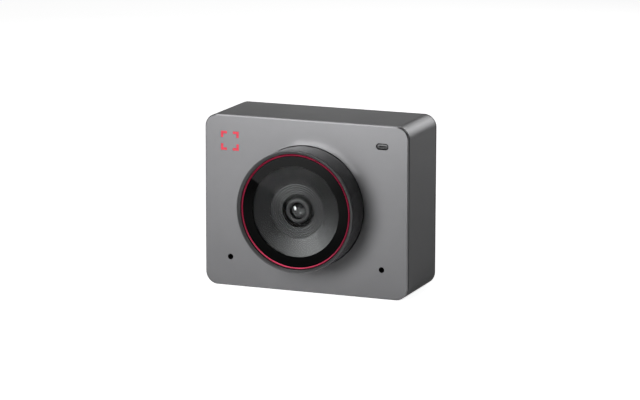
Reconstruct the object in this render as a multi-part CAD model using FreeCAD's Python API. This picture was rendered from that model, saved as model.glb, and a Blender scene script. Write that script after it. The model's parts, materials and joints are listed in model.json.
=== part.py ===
import FreeCAD, Part
import math
import os

# A block-shaped webcam with a large round lens barrel on its front.
# Millimetres, +Z up, +X to the object's left as it looks out, front towards -Y.
# The origin is the mouth of the tripod socket, in the middle of the flat base.

V = FreeCAD.Vector
SIDES = (-1, 1)
CORNERS = ((-1, -1), (1, -1), (1, 1), (-1, 1))

# Body shells
body_width = 54.0
body_height = 43.4
body_depth = 20.8
corner_radius = 3.2
sleeve_wall = 1.5
front_plate_thickness = 2.2
front_edge_band = 0.5
front_edge_chamfer = 0.28
front_groove_width = 0.4
front_groove_depth = 0.45
rear_plate_thickness = 2.0
rear_edge_band = 1.0
rear_edge_chamfer = 0.4
rear_groove_width = 0.15
rear_groove_depth = 0.3
lip_wall = 1.0
lip_depth = 1.8

# Clearances
slip_gap = 0.1
thread_gap = 0.03
board_gap = 0.5

# Corner posts and the screws that pull the two covers together
post_radius = 2.0
post_sink = 0.4
post_board_gap = 1.0
rear_post_length = 5.4
rear_screw_radius = 1.0
rear_screw_grip = 5.0
rear_head_radius = 1.7
rear_head_height = 1.1
rear_head_recess = 0.3
cross_slot_length = 2.0
cross_slot_width = 0.4
cross_slot_depth = 0.6

# Small screws that hold the lens housing and the two boards
small_screw_radius = 0.8
small_head_radius = 1.35
small_head_height = 0.7
small_screw_grip = 1.5

# Lens barrel, rim, accent ring and cover glass; heights are measured out from the front face
rim_inner_radius = 14.5
rim_wall = 0.86
barrel_reach = 7.0
rim_reach = 7.6
rim_seam = 0.1
rim_spigot_wall = 0.32
rim_spigot_depth = 0.6
rim_edge_chamfer = 0.12
accent_width = 0.56
accent_reach = 6.88
accent_slope = 0.12
glass_thickness = 0.7
adhesive_thickness = 0.1
adhesive_width = 2.5
shroud_seat_reach = 6.0
shroud_flange_thickness = 1.0
housing_shelf_thickness = 1.2
housing_shelf_width = 2.4
housing_wall = 1.8
flange_width = 1.2
flange_thickness = 1.2
ear_radius = 2.0
ear_offset = 1.3

# Stepped shroud behind the glass
cone_inner_radius = 7.0
cone_drop = 0.85
step_count = 5
step_drop = 0.11
well_radius = 4.2
shroud_wall = 0.7

# Lens barrel unit and its glass
lens_front_reach = 5.0
lens_nose_radius = 3.15
lens_nose_length = 2.1
lens_nose_round = 0.35
lens_body_radius = 3.5
lens_tail = 0.2
lens_opening_radius = 2.15
lens_opening_flare = 0.3
lens_shoulder = 0.7
element_radius = 2.7
element_clear_radius = 2.1
first_edge = 0.7
first_front_sag = 0.42
first_back_sag = -0.25
second_edge = 0.6
second_front_sag = -0.12
second_back_sag = -0.3
third_edge = 0.8
third_front_sag = 0.3
third_back_sag = 0.3
fourth_edge = 0.8
fourth_front_sag = -0.1
fourth_back_sag = -0.2
aperture_radius = 1.25
aperture_thickness = 0.1
front_spacer_length = 0.4
back_spacer_length = 0.5
retainer_thickness = 0.6
retainer_radius = 2.2

# Autofocus unit
focus_travel = 0.3
yoke_width = 13.2
yoke_wall = 0.45
yoke_front_wall = 0.4
yoke_hole_radius = 4.6
front_stop_gap = 0.02
spring_thickness = 0.08
spring_frame_width = 0.9
spring_ring_inner = 3.6
spring_leg_width = 0.3
spring_leg_turn = 72.0
carrier_radius = 4.3
carrier_length = 3.42
carrier_flange_height = 0.3
carrier_foot = 0.5
coil_thickness = 0.65
coil_height = 2.0
magnet_thickness = 1.0
magnet_width = 5.2
magnet_height = 2.6
focus_base_thickness = 0.8
focus_base_ridge = 0.32
focus_hole_radius = 3.9

# Filter and image sensor
filter_frame_thickness = 1.6
filter_size = 7.0
filter_thickness = 0.3
sensor_width = 8.4
sensor_height = 7.4
sensor_thickness = 0.9
frame_window = 5.6
sensor_board_thickness = 1.0
sensor_board_gap = 0.4
sensor_screw_outset = 0.26
sensor_screw_angle = 36.8
sensor_board_margin = 2.0
boss_radius = 1.45

# Main board and what it carries
main_board_thickness = 1.0
standoff_length = 6.4
standoff_radius = 1.6
main_board_inset = 3.0
main_board_top_gap = 2.0
processor_size = 12.0
processor_thickness = 1.2
processor_rise = 4.0
thermal_pad_thickness = 1.0
heat_sink_size = 17.0
heat_sink_plate = 1.4
heat_sink_fins = 6
heat_sink_fin = 1.0
memory_width = 7.0
memory_height = 9.0
memory_thickness = 1.0
memory_gap = 1.2
inductor_size = 2.8
inductor_thickness = 1.4
capacitor_length = 1.2
capacitor_width = 0.7
capacitor_thickness = 0.6
capacitor_pitch = 1.6
capacitors_in_row = 6
connector_width = 10.0
connector_height = 3.0
connector_thickness = 0.8
connector_rise = 3.0
flex_width = 9.0
flex_thickness = 0.15
flex_drop = 6.0

# Plug socket in the rear cover
usb_width = 8.94
usb_height = 3.26
usb_wall = 0.3
usb_recess = 0.4
usb_centre_height = 14.0
usb_gap = 0.15
usb_cavity_depth = 6.2
usb_tongue_width = 6.7
usb_tongue_thickness = 0.7
usb_tongue_length = 4.6

# Microphones behind the two small front holes
mic_from_side = 6.82
mic_from_base = 7.4
mic_hole_radius = 0.7
mic_gasket_size = 3.6
mic_gasket_thickness = 1.0
mic_board_width = 6.0
mic_board_height = 4.6
mic_board_thickness = 0.8
mic_width = 3.5
mic_height = 2.65
mic_thickness = 1.0
mic_port_radius = 0.4

# Status light at the top
led_from_side = 6.82
led_from_top = 5.15
led_window_width = 3.25
led_window_height = 1.55
led_window_recess = 0.15
led_flange_width = 5.6
led_flange_height = 3.2
led_flange_thickness = 0.6
led_leg_width = 0.7
led_width = 1.6
led_height = 0.8
led_thickness = 0.6
led_air_gap = 0.1
led_board_width = 6.0
led_board_height = 3.6
led_board_thickness = 0.6

# Four inlaid corner marks
mark_from_side = 6.7
mark_from_top = 6.5
mark_size = 4.8
mark_arm = 1.6
mark_stroke = 0.62
mark_depth = 0.3

# Tripod socket and its bracket
socket_bore_radius = 2.6
socket_depth = 6.2
nut_height = 7.0
nut_radius = 4.4
nut_flange_radius = 5.4
nut_flange_thickness = 1.2
bracket_width = 28.0
bracket_depth = 11.6
bracket_thickness = 1.0
bracket_screw_x = 11.0
bracket_boss_radius = 2.2
nut_board_gap = 1.0

# Planes along Y
front_y = -body_depth / 2
back_y = body_depth / 2
lens_z = body_height / 2
plate_back_y = front_y + front_plate_thickness
sleeve_front_y = front_y + front_edge_band + front_groove_width
sleeve_back_y = back_y - rear_edge_band - rear_groove_width
cover_inside_y = back_y - rear_plate_thickness
flange_back_y = plate_back_y + flange_thickness
sensor_board_y = flange_back_y + sensor_board_gap
sensor_board_back_y = sensor_board_y + sensor_board_thickness
frame_front_y = sensor_board_y - filter_frame_thickness
focus_plate_y = frame_front_y - focus_base_thickness
ridge_y = focus_plate_y - focus_base_ridge
carrier_back_y = ridge_y - spring_thickness
carrier_front_y = carrier_back_y - carrier_length
front_spring_y = carrier_front_y - spring_thickness
spacer_y = front_spring_y - focus_travel - front_stop_gap
yoke_front_y = spacer_y - yoke_front_wall
main_board_back_y = cover_inside_y - standoff_length
main_board_front_y = main_board_back_y - main_board_thickness

# Radii and half sizes that follow from the sizes above
inner_half_width = body_width / 2 - sleeve_wall
post_x = inner_half_width - slip_gap - lip_wall - post_radius + post_sink
post_rise = lens_z - mic_from_base - mic_board_height / 2 - post_board_gap - post_radius
post_split_y = cover_inside_y - rear_post_length
barrel_radius = rim_inner_radius + rim_wall
flange_radius = barrel_radius + flange_width
ear_circle = flange_radius + ear_offset
glass_radius = rim_inner_radius - accent_width - thread_gap
cone_outer_radius = glass_radius - adhesive_width
shroud_radius = rim_inner_radius - thread_gap
pocket_radius = rim_inner_radius
shelf_radius = pocket_radius - housing_shelf_width
sensor_screw_circle = shelf_radius + sensor_screw_outset
sensor_screw_x = sensor_screw_circle * math.cos(math.radians(sensor_screw_angle))
sensor_screw_z = sensor_screw_circle * math.sin(math.radians(sensor_screw_angle))
housing_bore = barrel_radius - housing_wall
yoke_half = yoke_width / 2
yoke_inner_half = yoke_half - yoke_wall
main_board_half_width = post_x - post_radius - board_gap
main_board_low_z = nut_height + nut_board_gap
main_board_high_z = body_height - sleeve_wall - main_board_top_gap
processor_z = (main_board_low_z + main_board_high_z) / 2 + processor_rise


def reach(height):
    """The y of a point that stands out from the front face by this height."""
    return front_y - height


def save(name, *shapes):
    """Writes one piece, or a group of like pieces, to its own file."""
    shape = shapes[0] if len(shapes) == 1 else Part.makeCompound(list(shapes))
    shape.exportStep("parts/" + name + ".step")


def block(x, z, width, height, y_front, y_back):
    """A plain block centred on x and z, between two planes along Y."""
    return Part.makeBox(width, y_back - y_front, height, V(x - width / 2, y_front, z - height / 2))


def rod(x, z, radius, y_front, y_back):
    """A round bar along Y."""
    return Part.makeCylinder(radius, y_back - y_front, V(x, y_front, z), V(0, 1, 0))


def rounded(x, z, width, height, radius, y_front, y_back):
    """A block whose four edges along Y are rounded."""
    solid = block(x, z, width, height, y_front, y_back)
    edges = [edge for edge in solid.Edges if abs(edge.tangentAt(edge.FirstParameter).y) > 0.9]
    return solid.makeFillet(radius, edges)


def pill(x, z, width, height, y_front, y_back):
    """A bar along Y whose section is a slot with round ends."""
    middle = block(x, z, width - height, height, y_front, y_back)
    half = (width - height) / 2
    ends = [rod(x + side * half, z, height / 2, y_front, y_back) for side in SIDES]
    return middle.fuse(ends).removeSplitter()


def chamfer_at(solid, size, y):
    """Chamfers every edge that lies in the plane at y."""
    near = 0.001
    boxes = [(edge, edge.BoundBox) for edge in solid.Edges]
    edges = [edge for edge, box in boxes if box.YLength < near and abs(box.YMin - y) < near]
    return solid.makeChamfer(size, edges)


def turned(*corners, angle=360):
    """A solid turned about the lens axis from corners given as radius and y, starting at +X."""
    points = [V(radius, y, lens_z) for radius, y in corners]
    face = Part.Face(Part.makePolygon(points + points[:1]))
    return face.revolve(V(0, 0, lens_z), V(0, 1, 0), angle)


def tube(inner, outer, y_front, y_back):
    """A plain ring about the lens axis."""
    return turned((inner, y_front), (outer, y_front), (outer, y_back), (inner, y_back))


def about_lens(shape, angle):
    """Turns a shape about the lens axis."""
    return shape.rotate(V(0, 0, lens_z), V(0, 1, 0), angle)


def square_frame(half, width, y_front, y_back):
    """A flat square frame about the lens axis."""
    outer = block(0, lens_z, 2 * half, 2 * half, y_front, y_back)
    return outer.cut(block(0, lens_z, 2 * (half - width), 2 * (half - width), y_front, y_back))


def screw(x, z, radius, head_radius, head_height, y_seat, y_tip):
    """A screw along Y whose head lies beyond its seat, away from its tip."""
    way = 1 if y_tip > y_seat else -1
    shank = rod(x, z, radius, min(y_seat, y_tip), max(y_seat, y_tip))
    y_top = y_seat - way * head_height
    return shank.fuse(rod(x, z, head_radius, min(y_seat, y_top), max(y_seat, y_top)))


def post_places():
    """The x and z of the four posts inside the body's sides."""
    return [(side * post_x, lens_z + rise * post_rise) for side, rise in CORNERS]


def ear_places():
    """The x and z of the four ears of the lens housing's flange."""
    reach_45 = ear_circle * math.sqrt(0.5)
    return [(side * reach_45, lens_z + rise * reach_45) for side, rise in CORNERS]


def sensor_screw_places():
    return [(side * sensor_screw_x, lens_z + rise * sensor_screw_z) for side, rise in CORNERS]


def main_screw_places():
    x = main_board_half_width - main_board_inset
    low = main_board_low_z + main_board_inset
    high = main_board_high_z - main_board_inset
    return [(side * x, z) for side in SIDES for z in (low, high)]


def mic_places():
    return [(side * (body_width / 2 - mic_from_side), mic_from_base) for side in SIDES]


led_x = body_width / 2 - led_from_side
led_z = body_height - led_from_top
mark_x = -(body_width / 2 - mark_from_side)
mark_z = body_height - mark_from_top


def body_section(inset, y_first, y_second):
    """The body's rounded outline, drawn in by this much all round, between two planes."""
    width = body_width - 2 * inset
    height = body_height - 2 * inset
    radius = max(corner_radius - inset, slip_gap)
    return rounded(0, lens_z, width, height, radius, min(y_first, y_second), max(y_first, y_second))


def cover_shell(y_face, band, chamfer, groove_width, groove_depth, thickness):
    """A cover: a full-size edge band, a groove, a plug that fits inside the sleeve and a lip round it."""
    way = 1 if y_face < 0 else -1
    y_band = y_face + way * band
    y_neck = y_band + way * groove_width
    y_inside = y_face + way * thickness
    y_lip = y_inside + way * lip_depth
    inset = sleeve_wall + slip_gap
    shell = chamfer_at(body_section(0, y_face, y_band), chamfer, y_face)
    neck = body_section(groove_depth, y_band, y_neck)
    plug = body_section(inset, y_neck, y_lip)
    hollow = body_section(inset + lip_wall, y_inside, y_lip)
    return shell.fuse([neck, plug]).cut(hollow)


def corner_mark_arms(y_front, y_back, gap=0.0):
    """Four right-angled marks at the corners of a small square."""
    marks = []
    for side, rise in CORNERS:
        x = mark_x + side * (mark_size - mark_arm) / 2
        z = mark_z + rise * (mark_size - mark_arm) / 2
        arm = mark_arm + 2 * gap
        stroke = mark_stroke + 2 * gap
        edge = (mark_size - mark_stroke) / 2
        flat = block(x, mark_z + rise * edge, arm, stroke, y_front, y_back)
        tall = block(mark_x + side * edge, z, stroke, arm, y_front, y_back)
        marks.append(flat.fuse(tall).removeSplitter())
    return marks


def front_cover():
    edge = (front_edge_band, front_edge_chamfer, front_groove_width, front_groove_depth)
    shell = cover_shell(front_y, *edge, front_plate_thickness)
    shell = shell.fuse([rod(x, z, post_radius, plate_back_y, post_split_y) for x, z in post_places()])
    holes = [rod(0, lens_z, barrel_radius + slip_gap, front_y, plate_back_y)]
    holes.append(pill(led_x, led_z, led_window_width, led_window_height, front_y, plate_back_y))
    holes += [rod(x, z, mic_hole_radius, front_y, plate_back_y) for x, z in mic_places()]
    screw_hole = rear_screw_radius + thread_gap
    hole_depth = rear_screw_grip + board_gap
    holes += [rod(x, z, screw_hole, post_split_y - hole_depth, post_split_y) for x, z in post_places()]
    small_hole = small_screw_radius + thread_gap
    holes += [rod(x, z, small_hole, plate_back_y - small_screw_grip, plate_back_y) for x, z in ear_places()]
    holes += corner_mark_arms(front_y, front_y + mark_depth, thread_gap)
    save("front_cover", shell.cut(holes))


def body_sleeve():
    outer = body_section(0, sleeve_front_y, sleeve_back_y)
    sleeve = outer.cut(body_section(sleeve_wall, sleeve_front_y, sleeve_back_y))
    boss_top = sleeve_wall + nut_flange_thickness
    for side in SIDES:
        place = V(side * bracket_screw_x, 0, sleeve_wall / 2)
        height = boss_top - sleeve_wall / 2
        sleeve = sleeve.fuse(Part.makeCylinder(bracket_boss_radius, height, place))
        sleeve = sleeve.cut(Part.makeCylinder(small_screw_radius + thread_gap, height, place))
    socket = Part.makeCylinder(nut_radius + slip_gap, sleeve_wall)
    save("body_sleeve", sleeve.cut(socket))


def rear_cover():
    edge = (rear_edge_band, rear_edge_chamfer, rear_groove_width, rear_groove_depth)
    shell = cover_shell(back_y, *edge, rear_plate_thickness)
    posts = [rod(x, z, post_radius, post_split_y, cover_inside_y) for x, z in post_places()]
    posts += [rod(x, z, standoff_radius, main_board_back_y, cover_inside_y) for x, z in main_screw_places()]
    shell = shell.fuse(posts)
    seat_y = back_y - rear_head_recess - rear_head_height
    holes = []
    for x, z in post_places():
        holes.append(rod(x, z, rear_screw_radius + slip_gap, post_split_y, seat_y))
        holes.append(rod(x, z, rear_head_radius + slip_gap, seat_y, back_y))
    depth = small_screw_grip + board_gap
    for x, z in main_screw_places():
        holes.append(rod(x, z, small_screw_radius + thread_gap, main_board_back_y, main_board_back_y + depth))
    opening_width = usb_width + 2 * usb_gap
    opening_height = usb_height + 2 * usb_gap
    holes.append(pill(0, usb_centre_height, opening_width, opening_height, cover_inside_y, back_y))
    save("rear_cover", shell.cut(holes))


def lens_housing():
    """The barrel that stands out of the front cover, with its flange, shelf and bosses."""
    shelf_front = reach(shroud_seat_reach - shroud_flange_thickness)
    shelf_back = shelf_front + housing_shelf_thickness
    front = reach(barrel_reach)
    mouth_radius = rim_inner_radius + rim_spigot_wall + thread_gap
    mouth_back = front + rim_spigot_depth + rim_seam
    housing = turned(
        (barrel_radius, front),
        (barrel_radius, plate_back_y),
        (flange_radius, plate_back_y),
        (flange_radius, flange_back_y),
        (housing_bore, flange_back_y),
        (housing_bore, shelf_back),
        (shelf_radius, shelf_back),
        (shelf_radius, shelf_front),
        (pocket_radius, shelf_front),
        (pocket_radius, mouth_back),
        (mouth_radius, mouth_back),
        (mouth_radius, front),
    )
    ears = [rod(x, z, ear_radius, plate_back_y, flange_back_y) for x, z in ear_places()]
    boss_planes = (shelf_back - thread_gap, sensor_board_y)
    bosses = [rod(x, z, boss_radius, *boss_planes) for x, z in sensor_screw_places()]
    bore = rod(0, lens_z, barrel_radius - housing_wall / 2, plate_back_y, flange_back_y)
    housing = housing.fuse([ear.cut(bore) for ear in ears] + bosses)
    holes = [rod(x, z, small_screw_radius + slip_gap, plate_back_y, flange_back_y) for x, z in ear_places()]
    hole_radius = small_screw_radius + thread_gap
    hole_planes = (sensor_board_y - small_screw_grip - board_gap, sensor_board_y)
    holes += [rod(x, z, hole_radius, *hole_planes) for x, z in sensor_screw_places()]
    save("lens_housing", housing.cut(holes))


def barrel_front_pieces():
    """The rim, the thin accent ring, the cover glass and its black adhesive ring."""
    rim_back = reach(barrel_reach + rim_seam)
    spigot_back = reach(barrel_reach - rim_spigot_depth)
    spigot_radius = rim_inner_radius + rim_spigot_wall
    inner = rim_inner_radius + thread_gap
    rim = turned(
        (inner, spigot_back),
        (spigot_radius, spigot_back),
        (spigot_radius, rim_back),
        (barrel_radius, rim_back),
        (barrel_radius, reach(rim_reach - rim_edge_chamfer)),
        (barrel_radius - rim_edge_chamfer, reach(rim_reach)),
        (inner, reach(accent_reach + accent_slope)),
    )
    save("rim_ring", rim)
    seat = reach(shroud_seat_reach)
    accent = turned(
        (glass_radius + thread_gap, seat),
        (rim_inner_radius - thread_gap, seat),
        (rim_inner_radius - thread_gap, reach(accent_reach)),
        (glass_radius + thread_gap, reach(accent_reach - accent_slope)),
    )
    save("accent_ring", accent)
    glass_back = reach(shroud_seat_reach + adhesive_thickness)
    save("glass_adhesive", tube(cone_outer_radius, glass_radius, glass_back, seat))
    save("cover_glass", rod(0, lens_z, glass_radius, glass_back - glass_thickness, glass_back))


def stepped_shroud():
    """A shallow cone with fine steps at its foot, round the well that the lens sits in."""
    seat = shroud_seat_reach
    foot = seat - cone_drop
    step_width = (cone_inner_radius - well_radius) / step_count
    corners = [(shroud_radius, reach(seat)), (cone_outer_radius, reach(seat))]
    corners.append((cone_inner_radius, reach(foot)))
    for step in range(step_count):
        level = reach(foot - (step + 1) * step_drop)
        corners.append((cone_inner_radius - step * step_width, level))
        corners.append((cone_inner_radius - (step + 1) * step_width, level))
    well_front = reach(foot - step_count * step_drop)
    flange_back = reach(seat - shroud_flange_thickness)
    corners += [
        (well_radius, well_front + shroud_wall),
        (cone_inner_radius, well_front + shroud_wall),
        (shelf_radius - slip_gap, flange_back),
        (shroud_radius, flange_back),
    ]
    save("stepped_shroud", turned(*corners))


def bulge(radius, y, sag):
    """A part of a sphere's outline, from a clear radius to the lens axis, which rises by sag towards -Y."""
    sphere_radius = (radius ** 2 + sag ** 2) / (2 * sag)
    half_angle = math.asin(radius / sphere_radius) / 2
    centre_y = y - sag + sphere_radius
    half = V(sphere_radius * math.sin(half_angle), centre_y - sphere_radius * math.cos(half_angle), lens_z)
    return Part.Arc(V(radius, y, lens_z), half, V(0, y - sag, lens_z)).toShape()


def element(number, y_front, edge, front_sag, back_sag):
    """One moulded lens with a flat rim. A sag above zero swells outwards, and below zero hollows."""
    y_back = y_front + edge
    rim = element_radius
    clear = element_clear_radius
    edges = [
        bulge(clear, y_front, front_sag),
        Part.makeLine(V(0, y_front - front_sag, lens_z), V(0, y_back + back_sag, lens_z)),
        bulge(clear, y_back, -back_sag),
        Part.makeLine(V(clear, y_back, lens_z), V(rim, y_back, lens_z)),
        Part.makeLine(V(rim, y_back, lens_z), V(rim, y_front, lens_z)),
        Part.makeLine(V(rim, y_front, lens_z), V(clear, y_front, lens_z)),
    ]
    face = Part.Face(Part.Wire(Part.__sortEdges__(edges)))
    save("lens_element_" + str(number), face.revolve(V(0, 0, lens_z), V(0, 1, 0), 360))
    return y_back


def lens_unit():
    """The lens barrel and everything in it, from the front shoulder back."""
    front = reach(lens_front_reach)
    nose_back = front + lens_nose_length
    tail = carrier_back_y + lens_tail
    shoulder = front + lens_shoulder
    bore = element_radius + thread_gap
    barrel = turned(
        (lens_opening_radius + lens_opening_flare, front),
        (lens_nose_radius - lens_nose_round, front),
        (lens_nose_radius, front + lens_nose_round),
        (lens_nose_radius, nose_back),
        (lens_body_radius, nose_back),
        (lens_body_radius, tail),
        (bore, tail),
        (bore, shoulder),
        (lens_opening_radius, shoulder),
        (lens_opening_radius, front + lens_opening_flare),
    )
    save("lens_barrel", barrel)
    y = element(1, shoulder, first_edge, first_front_sag, first_back_sag)
    save("aperture_stop", tube(aperture_radius, element_radius, y, y + aperture_thickness))
    y = element(2, y + aperture_thickness, second_edge, second_front_sag, second_back_sag)
    front_spacer = tube(element_clear_radius, element_radius, y, y + front_spacer_length)
    y = element(3, y + front_spacer_length, third_edge, third_front_sag, third_back_sag)
    back_spacer = tube(element_clear_radius, element_radius, y, y + back_spacer_length)
    y = element(4, y + back_spacer_length, fourth_edge, fourth_front_sag, fourth_back_sag)
    save("lens_spacers", front_spacer, back_spacer)
    save("lens_retainer", tube(retainer_radius, element_radius, y, y + retainer_thickness))


def leaf_spring(name, y):
    """A thin spring: a square outer frame, an inner ring and four curved legs."""
    y_back = y + spring_thickness
    frame_inner = yoke_inner_half - slip_gap - spring_frame_width
    leg_inner = carrier_radius + spring_leg_width
    leg_outer = leg_inner + spring_leg_width
    overlap = spring_leg_width / 2
    arc = ((leg_inner, y), (leg_outer, y), (leg_outer, y_back), (leg_inner, y_back))
    root = (carrier_radius - overlap, leg_outer)
    tip = (leg_inner, frame_inner + spring_frame_width / 2)
    pieces = [square_frame(yoke_inner_half - slip_gap, spring_frame_width, y, y_back)]
    for quarter in range(4):
        pieces.append(about_lens(turned(*arc, angle=spring_leg_turn), 90 * quarter))
        for (start, end), angle in ((root, 0), (tip, spring_leg_turn)):
            tab = block((start + end) / 2, lens_z, end - start, spring_leg_width, y, y_back)
            pieces.append(about_lens(tab, 90 * quarter + angle))
    save(name, tube(spring_ring_inner, carrier_radius, y, y_back).fuse(pieces))


def focus_unit():
    """The voice-coil unit: a yoke with magnets, and a carrier with a coil held by two springs."""
    coil_radius = carrier_radius + coil_thickness
    flange_back = carrier_back_y - carrier_foot
    flange_front = flange_back - carrier_flange_height
    bore = lens_body_radius + thread_gap
    carrier = turned(
        (bore, carrier_front_y),
        (carrier_radius, carrier_front_y),
        (carrier_radius, flange_front),
        (coil_radius, flange_front),
        (coil_radius, flange_back),
        (carrier_radius, flange_back),
        (carrier_radius, carrier_back_y),
        (bore, carrier_back_y),
    )
    save("lens_carrier", carrier)
    coil_front = flange_front - coil_height
    save("focus_coil", tube(carrier_radius + thread_gap, coil_radius, coil_front, flange_front))
    magnet_x = yoke_inner_half - magnet_thickness / 2
    magnet_back = carrier_front_y + magnet_height
    magnets = []
    for quarter in range(4):
        magnet = block(magnet_x, lens_z, magnet_thickness, magnet_width, carrier_front_y, magnet_back)
        magnets.append(about_lens(magnet, 90 * quarter))
    save("focus_magnets", *magnets)
    yoke = block(0, lens_z, yoke_width, yoke_width, yoke_front_y, focus_plate_y)
    inside = block(0, lens_z, 2 * yoke_inner_half, 2 * yoke_inner_half, spacer_y, focus_plate_y)
    save("focus_yoke", yoke.cut([inside, rod(0, lens_z, yoke_hole_radius, yoke_front_y, spacer_y)]))
    frame_half = yoke_inner_half - slip_gap
    save("spring_spacer", square_frame(frame_half, spring_frame_width, spacer_y, front_spring_y))
    leaf_spring("front_leaf_spring", front_spring_y)
    leaf_spring("rear_leaf_spring", carrier_back_y)
    base = block(0, lens_z, yoke_width, yoke_width, focus_plate_y, frame_front_y)
    ridge = square_frame(frame_half, spring_frame_width, ridge_y, focus_plate_y)
    stop_ring = rod(0, lens_z, carrier_radius, ridge_y, focus_plate_y)
    hole = rod(0, lens_z, focus_hole_radius, ridge_y, frame_front_y)
    save("focus_base", base.fuse([ridge, stop_ring]).cut(hole))


def sensor_unit():
    """The filter in its frame, the image sensor and the board that carries them all."""
    frame = block(0, lens_z, yoke_width, yoke_width, frame_front_y, sensor_board_y)
    filter_back = frame_front_y + filter_thickness
    recess = block(0, lens_z, filter_size + slip_gap, filter_size + slip_gap, frame_front_y, filter_back)
    sensor_front = sensor_board_y - sensor_thickness
    cavity_width = sensor_width + 2 * slip_gap
    cavity_height = sensor_height + 2 * slip_gap
    cavity = block(0, lens_z, cavity_width, cavity_height, sensor_front - slip_gap, sensor_board_y)
    window = block(0, lens_z, frame_window, frame_window, frame_front_y, sensor_board_y)
    save("filter_frame", frame.cut([recess, cavity, window]))
    save("ir_filter", block(0, lens_z, filter_size, filter_size, frame_front_y, filter_back))
    save("image_sensor", block(0, lens_z, sensor_width, sensor_height, sensor_front, sensor_board_y))
    width = 2 * (sensor_screw_x + sensor_board_margin)
    height = 2 * (sensor_screw_z + sensor_board_margin)
    board = block(0, lens_z, width, height, sensor_board_y, sensor_board_back_y)
    hole = small_screw_radius + slip_gap
    holes = [rod(x, z, hole, sensor_board_y, sensor_board_back_y) for x, z in sensor_screw_places()]
    save("sensor_board", board.cut(holes))


def board_flex():
    """The flexible circuit that folds from the sensor board down and back to the main board."""
    z = lens_z + connector_rise
    front = sensor_board_back_y + connector_thickness
    back = main_board_front_y - connector_thickness
    first = block(0, z, connector_width, connector_height, sensor_board_back_y, front)
    second = block(0, z, connector_width, connector_height, back, main_board_front_y)
    save("board_connectors", first, second)
    radius = (back - front) / 2
    bend_z = z - flex_drop
    leg_height = z + connector_height / 2 - bend_z
    leg_z = bend_z + leg_height / 2
    legs = [block(0, leg_z, flex_width, leg_height, front, front + flex_thickness)]
    legs.append(block(0, leg_z, flex_width, leg_height, back - flex_thickness, back))
    centre = V(-flex_width / 2, (front + back) / 2, bend_z)
    bend = Part.makeCylinder(radius, flex_width, centre, V(1, 0, 0))
    bend = bend.cut(Part.makeCylinder(radius - flex_thickness, flex_width, centre, V(1, 0, 0)))
    bend = bend.cut(block(0, bend_z + radius / 2, flex_width, radius, front, back))
    save("sensor_flex", bend.fuse(legs).removeSplitter())


def main_board():
    """The main board with its chips, and the heat sink that leads their heat to the rear cover."""
    z = (main_board_low_z + main_board_high_z) / 2
    height = main_board_high_z - main_board_low_z
    board = block(0, z, 2 * main_board_half_width, height, main_board_front_y, main_board_back_y)
    hole = small_screw_radius + slip_gap
    holes = [rod(x, z, hole, main_board_front_y, main_board_back_y) for x, z in main_screw_places()]
    save("main_board", board.cut(holes))
    face = main_board_back_y
    chip_top = face + processor_thickness
    save("image_processor", block(0, processor_z, processor_size, processor_size, face, chip_top))
    pad_top = chip_top + thermal_pad_thickness
    save("thermal_pad", block(0, processor_z, processor_size, processor_size, chip_top, pad_top))
    plate_top = pad_top + heat_sink_plate
    plate = block(0, processor_z, heat_sink_size, heat_sink_size, pad_top, plate_top)
    pitch = (heat_sink_size - heat_sink_fin) / (heat_sink_fins - 1)
    fins = []
    for number in range(heat_sink_fins):
        x = pitch * (number - (heat_sink_fins - 1) / 2)
        fins.append(block(x, processor_z, heat_sink_fin, heat_sink_size, plate_top, cover_inside_y))
    save("heat_sink", plate.fuse(fins))
    memory_x = -(processor_size / 2 + memory_gap + memory_width / 2)
    memory_top = face + memory_thickness
    save("memory_chip", block(memory_x, processor_z, memory_width, memory_height, face, memory_top))
    inductor_x = processor_size / 2 + memory_gap + inductor_size / 2
    passives = []
    for side in SIDES:
        inductor_z = processor_z + side * inductor_size
        inductor_top = face + inductor_thickness
        passives.append(block(inductor_x, inductor_z, inductor_size, inductor_size, face, inductor_top))
        row_z = processor_z + side * (processor_size / 2 + capacitor_pitch)
        for number in range(capacitors_in_row):
            x = capacitor_pitch * (number - (capacitors_in_row - 1) / 2)
            top = face + capacitor_thickness
            passives.append(block(x, row_z, capacitor_width, capacitor_length, face, top))
    save("board_passives", *passives)


def plug_socket():
    """The upright plug socket on the main board, which looks out through the rear cover."""
    mouth = back_y - usb_recess
    z = usb_centre_height
    inner_width = usb_width - 2 * usb_wall
    inner_height = usb_height - 2 * usb_wall
    shell = pill(0, z, usb_width, usb_height, main_board_back_y, mouth)
    save("usb_shell", shell.cut(pill(0, z, inner_width, inner_height, main_board_back_y, mouth)))
    floor = mouth - usb_cavity_depth
    fill_width = inner_width - 2 * thread_gap
    fill_height = inner_height - 2 * thread_gap
    fill = pill(0, z, fill_width, fill_height, main_board_back_y, floor)
    tongue = block(0, z, usb_tongue_width, usb_tongue_thickness, floor, floor + usb_tongue_length)
    save("usb_tongue", fill.fuse(tongue))


def microphone_units():
    """A gasket, a small board and a microphone behind each of the two front holes."""
    gaskets = []
    boards = []
    capsules = []
    board_y = plate_back_y + mic_gasket_thickness
    capsule_y = board_y + mic_board_thickness
    for x, z in mic_places():
        gasket = block(x, z, mic_gasket_size, mic_gasket_size, plate_back_y, board_y)
        gaskets.append(gasket.cut(rod(x, z, mic_hole_radius, plate_back_y, board_y)))
        board = block(x, z, mic_board_width, mic_board_height, board_y, capsule_y)
        boards.append(board.cut(rod(x, z, mic_port_radius, board_y, capsule_y)))
        capsules.append(block(x, z, mic_width, mic_height, capsule_y, capsule_y + mic_thickness))
    save("microphone_gaskets", *gaskets)
    save("microphone_boards", *boards)
    save("microphones", *capsules)


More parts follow.
